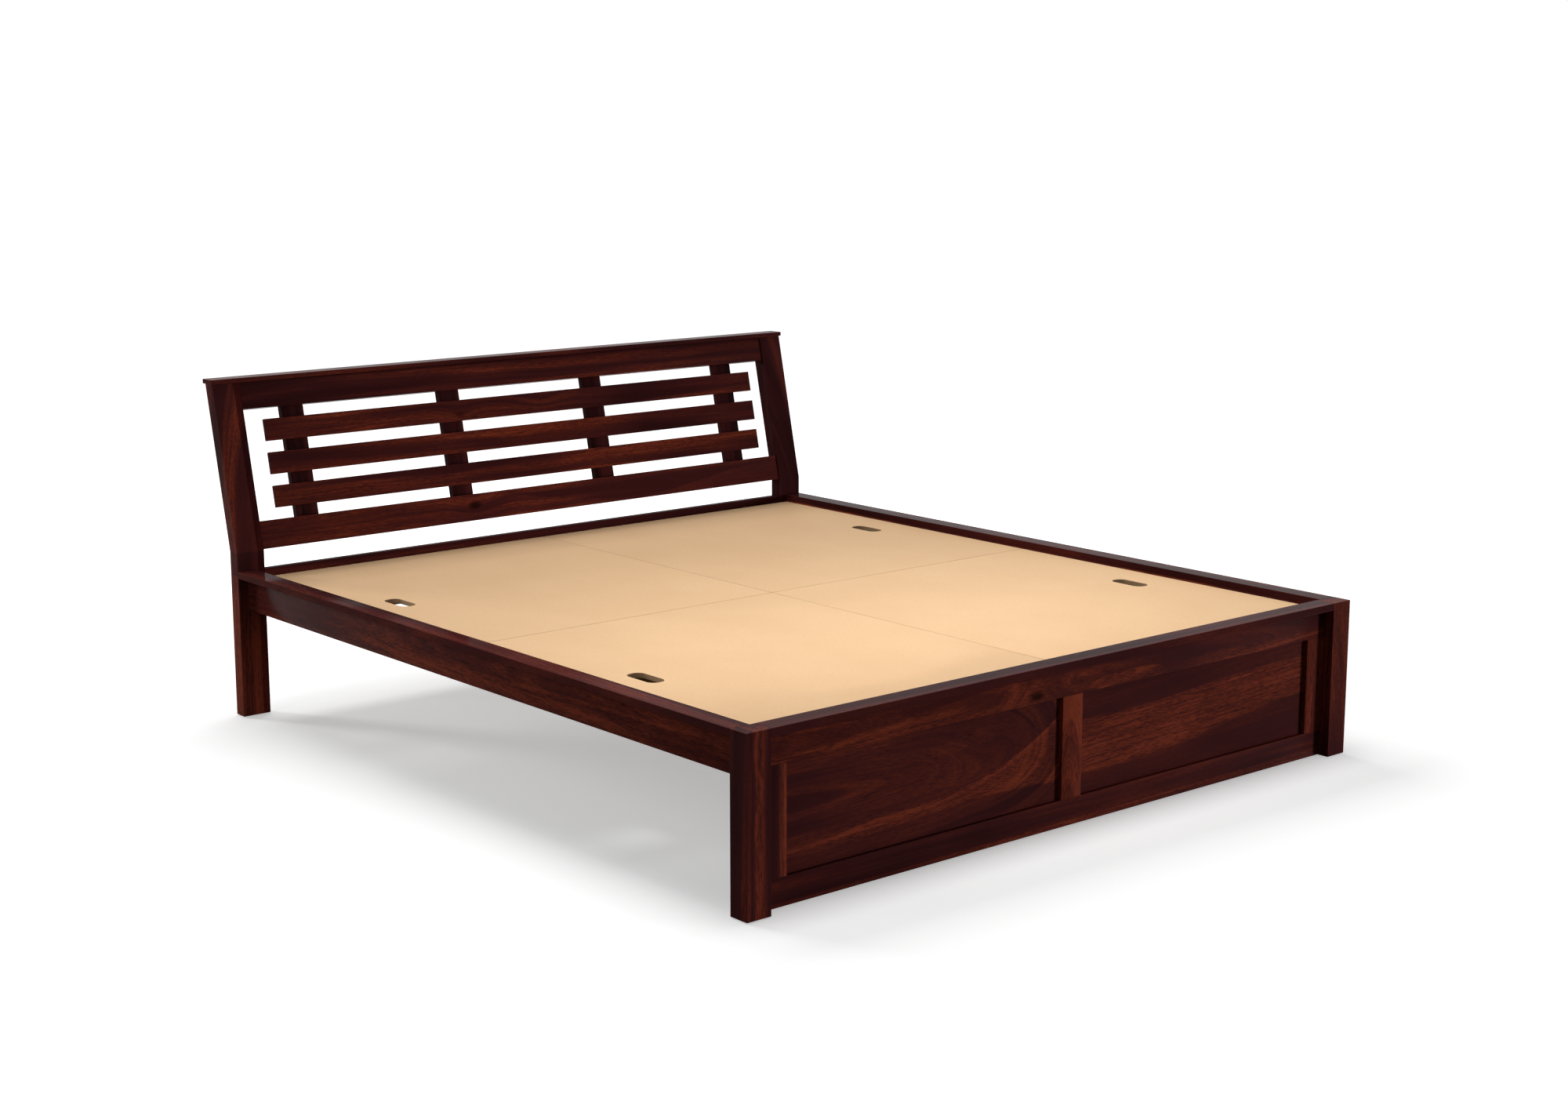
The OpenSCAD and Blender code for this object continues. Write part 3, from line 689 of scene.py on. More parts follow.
footRailLook = {
    "foot_top_rail": {"grain": "x", "seed": 2.6, "tone": 0.55, "zoneShare": 0.8, "swing": 0.07,
        "pith": (0.33, 0.05), "tilt": 0.035,
        "knots": [(-0.116, 0.321, 0.017, 0.8)],
        "streaks": [
            band([(-0.64, 0.322), (-0.45, 0.348), (-0.30, 0.360), (-0.18, 0.364), (0.0, 0.350)],
                [(-0.64, 0.290), (0.0, 0.290)], 0.13, soft=(0.006, 0.002), span=(-0.62, -0.06), fade=0.08),
            band([(0.05, 0.318), (0.10, 0.332), (0.16, 0.334), (0.24, 0.338), (0.32, 0.312)],
                [(0.05, 0.314), (0.10, 0.303), (0.19, 0.298), (0.32, 0.306)], 0.2, soft=(0.003, 0.003),
                span=(0.05, 0.31), fade=0.02),
            stroke([(0.45, 0.290), (0.511, 0.297), (0.633, 0.305), (0.782, 0.315), (0.905, 0.321)], 0.006,
                0.22, hard=0.2, span=(0.48, 1.0)),
            stroke([(-0.90, 0.307), (-0.845, 0.303), (-0.79, 0.295), (-0.743, 0.300), (-0.695, 0.315),
                (-0.628, 0.324), (-0.5, 0.326), (-0.3, 0.330)], 0.012, 0.2, hard=0.1, span=(-0.88, -0.36)),
            stroke([(-0.06, 0.330), (0.02, 0.345), (0.10, 0.352), (0.20, 0.348), (0.3, 0.352)], 0.012, 0.12,
                hard=0.1, span=(0.0, 0.22)),
            stroke([(0.2, 0.350), (0.5, 0.352), (0.9, 0.354)], 0.030, -0.13, hard=0.5, span=(0.34, 1.0)),
            # painted shadow: a thin dark line along the top of the rail, just under the cap
            stroke([(-0.9, 0.369), (0.0, 0.368), (0.9, 0.369)], 0.009, -0.1)]},
    "foot_bottom_rail": {"grain": "x", "seed": 6.3, "tone": 0.43, "zoneShare": 0.7, "swing": 0.02,
        "pith": (-0.25, 0.02), "tilt": 0.004,
        "streaks": [band([(-0.91, 0.016), (-0.3, 0.018), (0.3, 0.022), (0.91, 0.028)],
            [(-0.91, -0.02), (0.91, -0.02)], 0.27, soft=(0.006, 0.002))]},
}


# The rebate at the back of the foot frame that one panel lies in
def rebatePanel(piece, side):
    lap = joinery["panelLap"]
    ends = sorted((side * (midStileHalf - lap), side * (stileEdge + lap)))
    chop(piece, (ends[0], recessFoot - joinery["panel"], bottomRail["high"] - lap),
        (ends[1], recessFoot + overrun, topRail["low"] + lap))


def makeFootRail(node, rail):
    piece = sawBlock(node + "_wood", (-footPostX, footFrameFace, rail["low"]),
        (footPostX, recessFoot, rail["high"]))
    section = ((0, footTenonY, rail["low"] + joinery["shoulder"]),
        (0, footTenonY + joinery["tenon"], rail["high"] - joinery["shoulder"]))
    drawTenons(piece, (1, 0, 0), *section, joinery["postTenon"])
    for side in (-1, 1):
        rebatePanel(piece, side)
    depth = joinery["stileTenon"] + bed["endGap"]
    gap = bed["fitGap"]
    for x0, x1 in ((-footPostX, -stileEdge), (-midStileHalf, midStileHalf), (stileEdge, footPostX)):
        chop(piece, (x0 + joinery["shoulder"] - gap, footTenonY - gap, bottomRail["high"] - depth),
            (x1 - joinery["shoulder"] + gap, footTenonY + joinery["tenon"] + gap, topRail["low"] + depth))
    easeEdges(piece, ease["frame"])
    finishWood(piece, node, footRailLook[node])


makeFootRail("foot_top_rail", topRail)
makeFootRail("foot_bottom_rail", bottomRail)

footStileLook = {
    "foot_end_stile_left": {"grain": "z", "seed": 3.3, "tone": 0.49, "swing": 0.02, "pith": (1.1, 0.1),
        "tilt": 0.02,
        "streaks": [stroke([(0.0, 0.842), (0.2, 0.841), (0.374, 0.844)], 0.006, 0.26)]},
    "foot_mid_stile": {"grain": "z", "seed": 7.4, "tone": 0.88, "zoneShare": 0.5, "swing": 0.03,
        "pith": (0.01, 0.05), "tilt": 0.10,
        "streaks": [
            band([(0.06, 0.050), (0.30, 0.052)], [(0.06, 0.034), (0.20, 0.020), (0.25, 0.004),
                (0.30, -0.020)], 0.12, soft=(0.002, 0.004))]},
    "foot_end_stile_right": {"grain": "z", "seed": 5.8, "tone": 0.78, "swing": 0.02, "pith": (-1.2, 0.1),
        "tilt": 0.03},
}


def makeFootStile(node, x0, x1):
    piece = sawBlock(node + "_wood", (x0, footFrameFace, bottomRail["high"]),
        (x1, recessFoot, topRail["low"]))
    section = ((x0 + joinery["shoulder"], footTenonY, 0),
        (x1 - joinery["shoulder"], footTenonY + joinery["tenon"], 0))
    drawTenons(piece, (0, 0, 1), *section, joinery["stileTenon"])
    for side in (-1, 1):
        if side * (x0 + x1) > -0.01:
            rebatePanel(piece, side)
    easeEdges(piece, ease["frame"])
    finishWood(piece, node, footStileLook[node])


makeFootStile("foot_end_stile_left", -footPostX, -stileEdge)
makeFootStile("foot_mid_stile", -midStileHalf, midStileHalf)
makeFootStile("foot_end_stile_right", stileEdge, footPostX)

footPanelLook = {
    -1: {"grain": "x", "seed": 11.2, "tone": 0.46, "zoneShare": 0.6, "swing": 0.035,
        "axis": [(-0.86, 0.205), (-0.6, 0.207), (-0.4, 0.213), (-0.25, 0.222), (-0.02, 0.215)],
        "dive": [(-0.86, 0.02), (-0.6, 0.03), (-0.35, 0.05), (-0.22, 0.075), (-0.117, 0.115),
            (-0.02, 0.17)],
        "knots": [(-0.30, 0.243, 0.019, 0.0), (-0.412, 0.233, 0.0035, 0.6)],
        "streaks": [
            band([(-0.86, 0.121), (-0.721, 0.120), (-0.592, 0.135), (-0.438, 0.141), (-0.267, 0.165),
                (-0.158, 0.201), (-0.092, 0.231), (-0.03, 0.268)],
                [(-0.86, 0.096), (-0.691, 0.092), (-0.542, 0.102), (-0.395, 0.112), (-0.267, 0.118),
                    (-0.03, 0.109)], 0.14, soft=(0.003, 0.006)),
            band([(-0.34, 0.149), (-0.267, 0.165), (-0.158, 0.201), (-0.092, 0.231), (-0.03, 0.268)],
                [(-0.34, 0.116), (-0.267, 0.118), (-0.03, 0.109)], 0.11, soft=(0.004, 0.003),
                span=(-0.24, 0.0), fade=0.09),
            stroke([(-0.46, 0.243), (-0.35, 0.250), (-0.22, 0.262)], 0.022, 0.1, hard=0.3,
                span=(-0.42, -0.25), fade=0.05),
            stroke([(-0.85, 0.112), (-0.721, 0.112), (-0.592, 0.127), (-0.438, 0.133), (-0.267, 0.157),
                (-0.158, 0.193), (-0.092, 0.223), (-0.03, 0.260)], 0.008, 0.14, hard=0.1),
            stroke([(-0.239, 0.33), (-0.2, 0.307), (-0.16, 0.288), (-0.12, 0.258), (-0.10, 0.237),
                (-0.02, 0.20)], 0.007, -0.16, hard=0.2, span=(-0.23, -0.10), fade=0.02),
            stroke([(-0.85, 0.083), (-0.4, 0.085), (-0.03, 0.09)], 0.026, -0.03, hard=0.7)]},
    1: {"grain": "x", "seed": 8.7, "tone": 0.47, "zoneShare": 0.15, "swing": 0.015, "pith": (-0.45, 0.03),
        "rise": 0.045, "tilt": 0.0,
        "streaks": [
            band([(0.03, 0.240), (0.236, 0.241), (0.40, 0.248), (0.553, 0.258), (0.86, 0.268)],
                [(0.03, 0.108), (0.303, 0.112), (0.559, 0.141), (0.720, 0.158), (0.86, 0.168)], 0.22,
                soft=(0.002, 0.012))]},
}


makePlain("foot_panel_left", footPanelLook[-1], ease["panel"])
makePlain("foot_panel_right", footPanelLook[1], ease["panel"])

capLook = {
    "foot_cap": {"grain": "x", "seed": 12.9, "tone": 0.37, "roughness": 0.13, "gloss": 0.0058,
        "swing": 0.03, "pith": (0.33, 0.3), "tilt": 0.01},
    "side_cap_left": {"grain": "y", "seed": 14.1, "tone": 0.41, "roughness": 0.1, "gloss": 0.004,
        "swing": 0.03, "pith": (0.35, 0.25), "tilt": 0.01},
    # painted shade: the gain of 0.85 paints this cap darker than the left one
    "side_cap_right": {"grain": "y", "seed": 15.6, "tone": 0.37, "gain": 0.85, "roughness": 0.14,
        "swing": 0.03, "pith": (0.34, 0.25), "tilt": 0.01},
}

for node, look in capLook.items():
    makePlain(node, look, ease["rail"])
print("foot end and caps done")

# Sides

sideRailLook = {
    -1: {"grain": "y", "seed": 16.4, "tone": 0.64, "zoneShare": 0.6, "gloss": 0.0055, "roughness": 0.15,
        "swing": 0.05, "pith": (0.36, 0.06), "tilt": 0.02,
        "streaks": [
            stroke([(-0.9, 0.316), (-0.4, 0.304), (0.0, 0.306), (0.4, 0.300), (1.0, 0.296)], 0.022, 0.18,
                hard=0.2, span=(-0.75, 0.2), fade=0.2),
            stroke([(-0.95, 0.346), (-0.67, 0.337), (-0.47, 0.333), (-0.2, 0.323), (0.0, 0.320)], 0.006,
                0.16, span=(-0.9, -0.1))]},
    1: {"grain": "y", "seed": 17.7, "tone": 0.60, "swing": 0.05, "pith": (0.30, 0.06), "tilt": 0.02},
}


def makeSideRail(side, node):
    x = side * railCentre
    rail = sawBlock(node + "_wood", (x - sideRail["half"], recessFoot, sideRail["low"]),
        (x + sideRail["half"], recessHead, capBottom))
    section = ((x - sideRail["tenonHalf"], 0, sideRail["tenonLow"]),
        (x + sideRail["tenonHalf"], 0, sideRail["tenonHigh"]))
    drawTenons(rail, (0, 1, 0), *section, joinery["sideTenonLength"])
    easeEdges(rail, ease["rail"])
    finishWood(rail, node, sideRailLook[side])


makeSideRail(-1, "side_rail_left")
makeSideRail(1, "side_rail_right")
print("side rails done")

# Head end

headEnd = {
    "shoulder": 0.01, "bedRailThickness": 0.018, "bedRailHeight": 0.105, "bedRailTenonInset": 0.005,
    "railFront": 0.0044, "railBack": 0.0364, "lowerRail": (0.0025, 0.0765), "topRail": (0.3732, 0.4442),
    "tenon": 0.012, "tenonLength": 0.024, "uprightFront": 0.018, "uprightHalf": 0.033,
    "uprightTenon": 0.015, "uprightTenonHalf": 0.004, "uprightMortiseHalf": 0.0042,
    "uprightPlaces": (-0.735, -0.245, 0.245, 0.735), "slatFront": 0.0065, "slatHeight": 0.0585,
    "slatPlaces": (0.1068, 0.1956, 0.2844), "slatEnd": 0.8284,
}
headTenonY = headEnd["railFront"] + (headEnd["railBack"] - headEnd["railFront"] - headEnd["tenon"]) / 2
bedRailTenonY = recessHead + headEnd["bedRailTenonInset"]
bedRailLow = bed["top"] - headEnd["bedRailHeight"]


def leaningPoint(x, back, up):
    return Vector((x, recessHead + back, bed["bendHeight"] + up))


headPostLook = {
    -1: {"grain": "z", "seed": 18.3, "tone": 0.56, "gain": 0.96, "roughness": 0.2, "swing": 0.03,
        "pith": (0.7, 0.15), "tilt": 0.03,
        "strip": (-1, 0.906, paint(150, 120, 140)),
        "streaks": [
            # painted light: the lower part of the post, up to about 0.33 m, is painted lighter
            stroke([(0.0, 0.926), (0.5, 0.926), (0.9, 0.926)], 0.08, 0.24, hard=0.9, span=(-0.2, 0.33),
                fade=0.06),
            # painted shade: a dark band on the upright part of the post just below the bend
            stroke([(0.0, 0.926), (0.5, 0.926), (0.9, 0.926)], 0.08, -0.16, hard=0.95,
                span=(0.38, 0.441), fade=0.001)]},
    1: {"grain": "z", "seed": 19.9, "tone": 0.37, "gain": 0.95, "swing": 0.03, "pith": (-0.7, 0.15),
        "tilt": 0.03},
}


def makeHeadPost(side, node):
    x, half = side * headPostCentre, bed["headPostWidth"] / 2
    gap = bed["fitGap"]
    post = sawBlock(node + "_wood", (x - half, recessHead, bed["postBottom"]),
        (x + half, recessHead + bed["headPostDepth"], headCapBottom))
    splitAt(post, bendLine, (0, 0, 1))
    pickFaces(post, lambda centre, normal: normal.z > 0.9)
    bpy.ops.transform.translate(value=(0, leanBack, 0))
    leaveMesh()
    ends = mortiseRun(side, headPostX, joinery["postTenon"])
    chop(post, (ends[0], bedRailTenonY - gap, bedRailLow + headEnd["shoulder"] - gap),
        (ends[1], bedRailTenonY + joinery["tenon"] + gap, bed["top"] - headEnd["shoulder"] + gap))
    mortiseEnd = recessHead + joinery["sideTenonLength"] + bed["endGap"]
    chopSideMortise(post, side, recessHead - overrun, mortiseEnd)
    ends = mortiseRun(side, headPostX, headEnd["tenonLength"])
    for bottom, top in (headEnd["lowerRail"], headEnd["topRail"]):
        chop(post, leaningPoint(ends[0], headTenonY - gap, bottom + headEnd["shoulder"] - gap),
            leaningPoint(ends[1], headTenonY + headEnd["tenon"] + gap, top - headEnd["shoulder"] + gap),
            leaning=True)
    easeEdges(post, ease["lean"])
    finishWood(post, node, headPostLook[side])


makeHeadPost(-1, "head_post_left")
makeHeadPost(1, "head_post_right")

headRailLook = {
    "head_bed_rail": {"grain": "x", "seed": 21.4, "tone": 0.46, "gain": 0.8, "gloss": 0.004, "swing": 0.03,
        "pith": (0.2, 0.1), "tilt": 0.01},
    "head_lower_rail": {"grain": "leaningX", "seed": 22.8, "tone": 0.50, "gain": 0.86, "swing": 0.05,
        "pith": (0.4, 0.08), "tilt": 0.015,
        "knots": [(-0.22, 0.689, 0.016, 0.8)],
        "streaks": [
            band([(0.45, 0.660), (0.62, 0.684), (0.74, 0.702), (0.90, 0.706)],
                [(0.45, 0.640), (0.90, 0.640)], 0.15, soft=(0.003, 0.004), span=(0.42, 1.0)),
            band([(-0.16, 0.715), (-0.05, 0.700), (0.10, 0.676), (0.30, 0.655)],
                [(-0.16, 0.640), (0.30, 0.640)], 0.13, soft=(0.003, 0.004), span=(-0.12, 0.26))]},
    "head_top_rail": {"grain": "leaningX", "seed": 23.5, "tone": 0.42, "gain": 0.8, "swing": 0.05,
        "pith": (0.8, 0.08), "tilt": 0.012,
        "streaks": [
            # painted shadow: a thin dark line along the top of the rail, just under the head cap
            stroke([(-0.887, 1.0905), (0.887, 1.0905)], 0.0035, -0.5, hard=0.6),
            stroke([(-0.25, 1.055), (0.1, 1.062), (0.5, 1.058)], 0.015, 0.12, hard=0.2, span=(-0.2, 0.4),
                fade=0.1)]},
}


def makeBedRail(node):
    rail = sawBlock(node + "_wood", (-headPostX, recessHead, bedRailLow),
        (headPostX, recessHead + headEnd["bedRailThickness"], bed["top"]))
    section = ((0, bedRailTenonY, bedRailLow + headEnd["shoulder"]),
        (0, bedRailTenonY + joinery["tenon"], bed["top"] - headEnd["shoulder"]))
    drawTenons(rail, (1, 0, 0), *section, joinery["postTenon"])
    easeEdges(rail, ease["rail"])
    finishWood(rail, node, headRailLook[node])


def makeHeadRail(node, bottom, top, extra):
    rail = sawBlock(node + "_wood", leaningPoint(-headPostX, headEnd["railFront"], bottom),
        leaningPoint(headPostX, headEnd["railBack"], top + extra))
    section = (leaningPoint(0, headTenonY, bottom + headEnd["shoulder"]),
        leaningPoint(0, headTenonY + headEnd["tenon"], top - headEnd["shoulder"]))
    drawTenons(rail, (1, 0, 0), *section, headEnd["tenonLength"])
    lean(rail)
    if extra:
        splitAt(rail, (0, 0, headCapBottom), (0, 0, 1), drop=True)
    half = headEnd["uprightHalf"] - headEnd["shoulder"] + bed["fitGap"]
    middle = (headEnd["uprightFront"] + headEnd["railBack"]) / 2
    depth = headEnd["uprightTenon"] + bed["endGap"]
    for x in headEnd["uprightPlaces"]:
        chop(rail, leaningPoint(x - half, middle - headEnd["uprightMortiseHalf"],
            headEnd["lowerRail"][1] - depth),
            leaningPoint(x + half, middle + headEnd["uprightMortiseHalf"], headEnd["topRail"][0] + depth),
            leaning=True)
    easeEdges(rail, ease["rail"])
    finishWood(rail, node, headRailLook[node])


makeBedRail("head_bed_rail")
makeHeadRail("head_lower_rail", *headEnd["lowerRail"], 0)
makeHeadRail("head_top_rail", *headEnd["topRail"], 0.04)

uprightLook = {
    number: {"grain": "leaningZ", "seed": seed, "tone": 0.30, "gain": 0.85, "swing": 0.02,
        "pith": (pith, 0.1), "tilt": tilt}
    for number, seed, pith, tilt in ((1, 25.1, 0.5, 0.03), (2, 26.2, 0.1, 0.04), (3, 27.6, -0.4, 0.02),
        (4, 28.9, -0.5, 0.03))
}

screwLook = {"head": 0.009, "shank": 0.0045, "headHeight": 0.0026, "tip": 0.004, "slot": 0.0011,
    "irons": 0.017, "ledgers": 0.038, "slats": 0.026, "slotLength": 0.0052, "slotDepth": 0.0017}

sinkWidth = screwLook["head"] + 0.0003
sinkDepth = screwLook["headHeight"] + 0.0004


def slatScrewPlaces(x):
    return [leaningPoint(x, headEnd["railBack"], z + headEnd["slatHeight"] / 2 + rise)
        for z in headEnd["slatPlaces"] for rise in (-0.014, 0.014)]


def makeUpright(number, node):
    x = headEnd["uprightPlaces"][number - 1]
    half = headEnd["uprightHalf"]
    upright = sawBlock(node + "_wood",
        leaningPoint(x - half, headEnd["uprightFront"], headEnd["lowerRail"][1]),
        leaningPoint(x + half, headEnd["railBack"], headEnd["topRail"][0]))
    middle = recessHead + (headEnd["uprightFront"] + headEnd["railBack"]) / 2
    section = ((x - half + headEnd["shoulder"], middle - headEnd["uprightTenonHalf"], 0),
        (x + half - headEnd["shoulder"], middle + headEnd["uprightTenonHalf"], 0))
    drawTenons(upright, (0, 0, 1), *section, headEnd["uprightTenon"])
    drill(upright, slatScrewPlaces(x), (0, -1, 0), sinkWidth, sinkDepth)
    easeEdges(upright, ease["rail"])
    lean(upright)
    finishWood(upright, node, uprightLook[number])


for number in uprightLook:
    makeUpright(number, f"head_upright_{number}")

slatLook = {
    "head_slat_lower": {"grain": "leaningX", "seed": 31.5, "tone": 0.46, "gain": 0.76, "swing": 0.05,
        "pith": (0.55, 0.05), "tilt": 0.02,
        "streaks": [
            stroke([(-0.9, 0.782), (0.9, 0.782)], 0.06, 0.14, hard=0.9, span=(0.1, 1.0), fade=0.2)]},
    "head_slat_middle": {"grain": "leaningX", "seed": 32.4, "tone": 0.54, "gain": 0.76, "swing": 0.05,
        "pith": (0.75, 0.05), "tilt": 0.015,
        "streaks": [
            band([(-0.4, 0.93), (0.3, 0.93), (0.55, 0.85)], [(-0.4, 0.83), (0.55, 0.83)], 0.12,
                span=(-0.1, 0.3), fade=0.06),
            stroke([(0.4, 0.868), (0.9, 0.872)], 0.06, -0.16, hard=0.9, span=(0.38, 1.0), fade=0.05)]},
    "head_slat_upper": {"grain": "leaningX", "seed": 33.8, "tone": 0.48, "gain": 0.78, "swing": 0.05,
        "pith": (0.78, 0.05), "tilt": 0.02,
        "streaks": [
            stroke([(-0.9, 0.958), (0.9, 0.958)], 0.06, 0.16, hard=0.9, span=(-1.0, -0.45), fade=0.15),
            stroke([(0.3, 0.925), (0.6, 0.935), (0.9, 0.95)], 0.012, 0.16, hard=0.2, span=(0.4, 1.0))],
        "knots": [(-0.224, 0.947, 0.012, 0.45), (0.046, 0.974, 0.016, 0.15)]},
}


def makeSlat(node, low):
    slat = sawBlock(node + "_wood", leaningPoint(-headEnd["slatEnd"], headEnd["slatFront"], low),
        leaningPoint(headEnd["slatEnd"], headEnd["uprightFront"], low + headEnd["slatHeight"]))
    easeEdges(slat, ease["lean"])
    lean(slat)
    finishWood(slat, node, slatLook[node])


for node, low in zip(slatLook, headEnd["slatPlaces"]):
    makeSlat(node, low)

headCapLook = {"grain": "x", "seed": 35.2, "tone": 0.46, "gain": 0.82, "roughness": 0.2, "swing": 0.04,
    "pith": (0.95, 0.1), "tilt": 0.01}
makePlain("head_cap", headCapLook, ease["lean"])
print("head end done")

# Supports under the deck

support = {
    "ledgerThickness": 0.025, "ledgerHeight": 0.045, "bearerThickness": 0.035, "bearerHeight": 0.060,
    "bearerPitch": 0.400, "beamWidth": 0.045, "beamHeight": 0.070, "tongue": 0.020, "leg": 0.045,
    "legTenon": 0.025, "legTenonLength": 0.020, "screwHeight": 0.011, "screwInset": 0.095,
    "cornerGap": 0.055, "endScrewInset": 0.04, "tongueGap": 0.0005, "ease": 0.0015,
}
ledgerLow = deckUnder - support["ledgerHeight"]
ledgerInner = bed["recessHalf"] - support["ledgerThickness"]
beamLow = deckUnder - support["beamHeight"]
bearerLow = deckUnder - support["bearerHeight"]
halvingLevel = deckUnder - support["bearerHeight"] / 2
tongueLow = deckUnder - support["tongue"]
tongueInset = support["ledgerThickness"] + support["tongueGap"]
bearerPlaces = [recessMiddle + (i - 2) * support["bearerPitch"] for i in range(5)]
legPlaces = (bearerPlaces[1], bearerPlaces[3])
endLedgerX = bed["recessHalf"] - support["cornerGap"]
screwZ = ledgerLow + support["screwHeight"]
screwRun = bed["recessLength"] - 2 * support["screwInset"]
sideScrewPlaces = [recessFoot + support["screwInset"] + screwRun * i / 4 for i in range(5)]
endScrewPlaces = [(endLedgerX - support["endScrewInset"]) * (i / 2.5 - 1) for i in range(6)]


def supportLook(grain, seed):
    return {"grain": grain, "seed": seed, "tone": 0.5, "swing": 0.04, "pith": (0.3, 0.08), "tilt": 0.02}


def finishSupport(piece, node, grain, seed):
    easeEdges(piece, support["ease"])
    finishWood(piece, node, supportLook(grain, seed), rawWood)


def makeSideLedger(side, node, seed):
    inner = side * ledgerInner
    x0, x1 = sorted((side * bed["recessHalf"], inner))
    ledger = sawBlock(node + "_wood", (x0, recessFoot + support["cornerGap"], ledgerLow),
        (x1, recessHead - support["cornerGap"], deckUnder))
    half = support["bearerThickness"] / 2 + bed["fitGap"]
    for y in bearerPlaces:
        chop(ledger, (x0 - overrun, y - half, tongueLow), (x1 + overrun, y + half, deckUnder + overrun))
    drill(ledger, [(inner, y, screwZ) for y in sideScrewPlaces], (side, 0, 0), sinkWidth, sinkDepth)
    finishSupport(ledger, node, "y", seed)


def makeEndLedger(end, node, seed):
    thickness = support["ledgerThickness"]
    y0, y1 = (recessFoot, recessFoot + thickness) if end < 0 else (recessHead - thickness, recessHead)
    ledger = sawBlock(node + "_wood", (-endLedgerX, y0, ledgerLow), (endLedgerX, y1, deckUnder))
    half = support["beamWidth"] / 2 + bed["fitGap"]
    chop(ledger, (-half, y0 - overrun, tongueLow), (half, y1 + overrun, deckUnder + overrun))
    inner = y1 if end < 0 else y0
    drill(ledger, [(x, inner, screwZ) for x in endScrewPlaces], (0, end, 0), sinkWidth, sinkDepth)
    finishSupport(ledger, node, "x", seed)


def makeBeam(node, seed):
    half = support["beamWidth"] / 2
    beam = sawBlock(node + "_wood", (-half, recessFoot + tongueInset, beamLow),
        (half, recessHead - tongueInset, deckUnder))
    for way in (1, -1):
        drawTongue(beam, Vector((0, 1, 0)) * way, tongueLow, tongueInset - bed["endGap"])
    slotHalf = support["bearerThickness"] / 2 + bed["fitGap"]
    for y in bearerPlaces:
        chop(beam, (-half - overrun, y - slotHalf, halvingLevel),
            (half + overrun, y + slotHalf, deckUnder + overrun))
    tenonHalf = support["legTenon"] / 2 + bed["fitGap"]
    for y in legPlaces:
        chop(beam, (-tenonHalf, y - tenonHalf, beamLow - overrun),
            (tenonHalf, y + tenonHalf, beamLow + support["legTenonLength"] + bed["endGap"]))
    finishSupport(beam, node, "y", seed)


def makeBearer(y, node, seed):
    half = support["bearerThickness"] / 2
    x = bed["recessHalf"] - tongueInset
    bearer = sawBlock(node + "_wood", (-x, y - half, bearerLow), (x, y + half, deckUnder))
    for way in (1, -1):
        drawTongue(bearer, Vector((1, 0, 0)) * way, tongueLow, tongueInset - bed["endGap"])
    slotHalf = support["beamWidth"] / 2 + bed["fitGap"]
    chop(bearer, (-slotHalf, y - half - overrun, bearerLow - overrun),
        (slotHalf, y + half + overrun, halvingLevel))
    finishSupport(bearer, node, "x", seed)


def makeLeg(y, node, seed):
    half = support["leg"] / 2
    leg = sawBlock(node + "_wood", (-half, y - half, bed["postBottom"]), (half, y + half, beamLow))
    tenonHalf = support["legTenon"] / 2
    drawTenon(leg, (0, 0, 1), (-tenonHalf, y - tenonHalf, 0), (tenonHalf, y + tenonHalf, 0),
        support["legTenonLength"])
    finishSupport(leg, node, "z", seed)


makeSideLedger(-1, "side_ledger_left", 41.2)
makeSideLedger(1, "side_ledger_right", 42.3)
makeEndLedger(-1, "foot_ledger", 43.4)
makeEndLedger(1, "head_ledger", 44.5)
makeBeam("centre_beam", 45.6)
for i, y in enumerate(bearerPlaces):
    makeBearer(y, f"cross_bearer_{i + 1}", 46.7 + 1.3 * i)
makeLeg(legPlaces[0], "centre_leg_foot", 54.1)
makeLeg(legPlaces[1], "centre_leg_head", 55.3)
print("supports done")

# Deck

deck = {"gap": 0.0015, "slotWidth": 0.044, "slotLength": 0.104, "slotRadius": 0.020, "slotInset": 0.1255,
    "ease": 0.0006}


def makeDeckPanel(side, end, node, seed):
    low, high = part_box(node)
    panel = sawBlock(node + "_board", low, high)
    x = side * (bed["recessHalf"] - deck["slotInset"])
    y = recessMiddle + end * bed["recessLength"] / 4 - end * deck["gap"] / 4
    halfWidth, halfLength = deck["slotWidth"] / 2, deck["slotLength"] / 2
    cutter = sawBlock("slotCutter", (x - halfWidth, y - halfLength, low.z - overrun),
        (x + halfWidth, y + halfLength, high.z + overrun))
    roundEdges(cutter, isUpright, deck["slotRadius"], 8)
    leaveMesh()
    subtract(panel, cutter)
    easeEdges(panel, deck["ease"], shortest=0.001)
    settle(panel, node, node.replace("deck_panel", "deck"),
        boardFinish(node + "_finish", seed))


for i, (side, end, node) in enumerate(((-1, -1, "deck_panel_foot_left"), (1, -1, "deck_panel_foot_right"),
    (-1, 1, "deck_panel_head_left"), (1, 1, "deck_panel_head_right"))):
    makeDeckPanel(side, end, node, 61.0 + 3.7 * i)
print("deck done")

# Hardware

zinc = zincFinish("zinc_plate")
glidePlastic = glideFinish("glide_plastic_black")

ironPlace = {"leg": 0.050, "thickness": 0.003, "height": 0.036, "low": deckUnder - 0.041,
    "near": 0.019, "far": 0.041, "bendRadius": 0.0025, "tipRadius": 0.005, "sinkDepth": 0.0029}


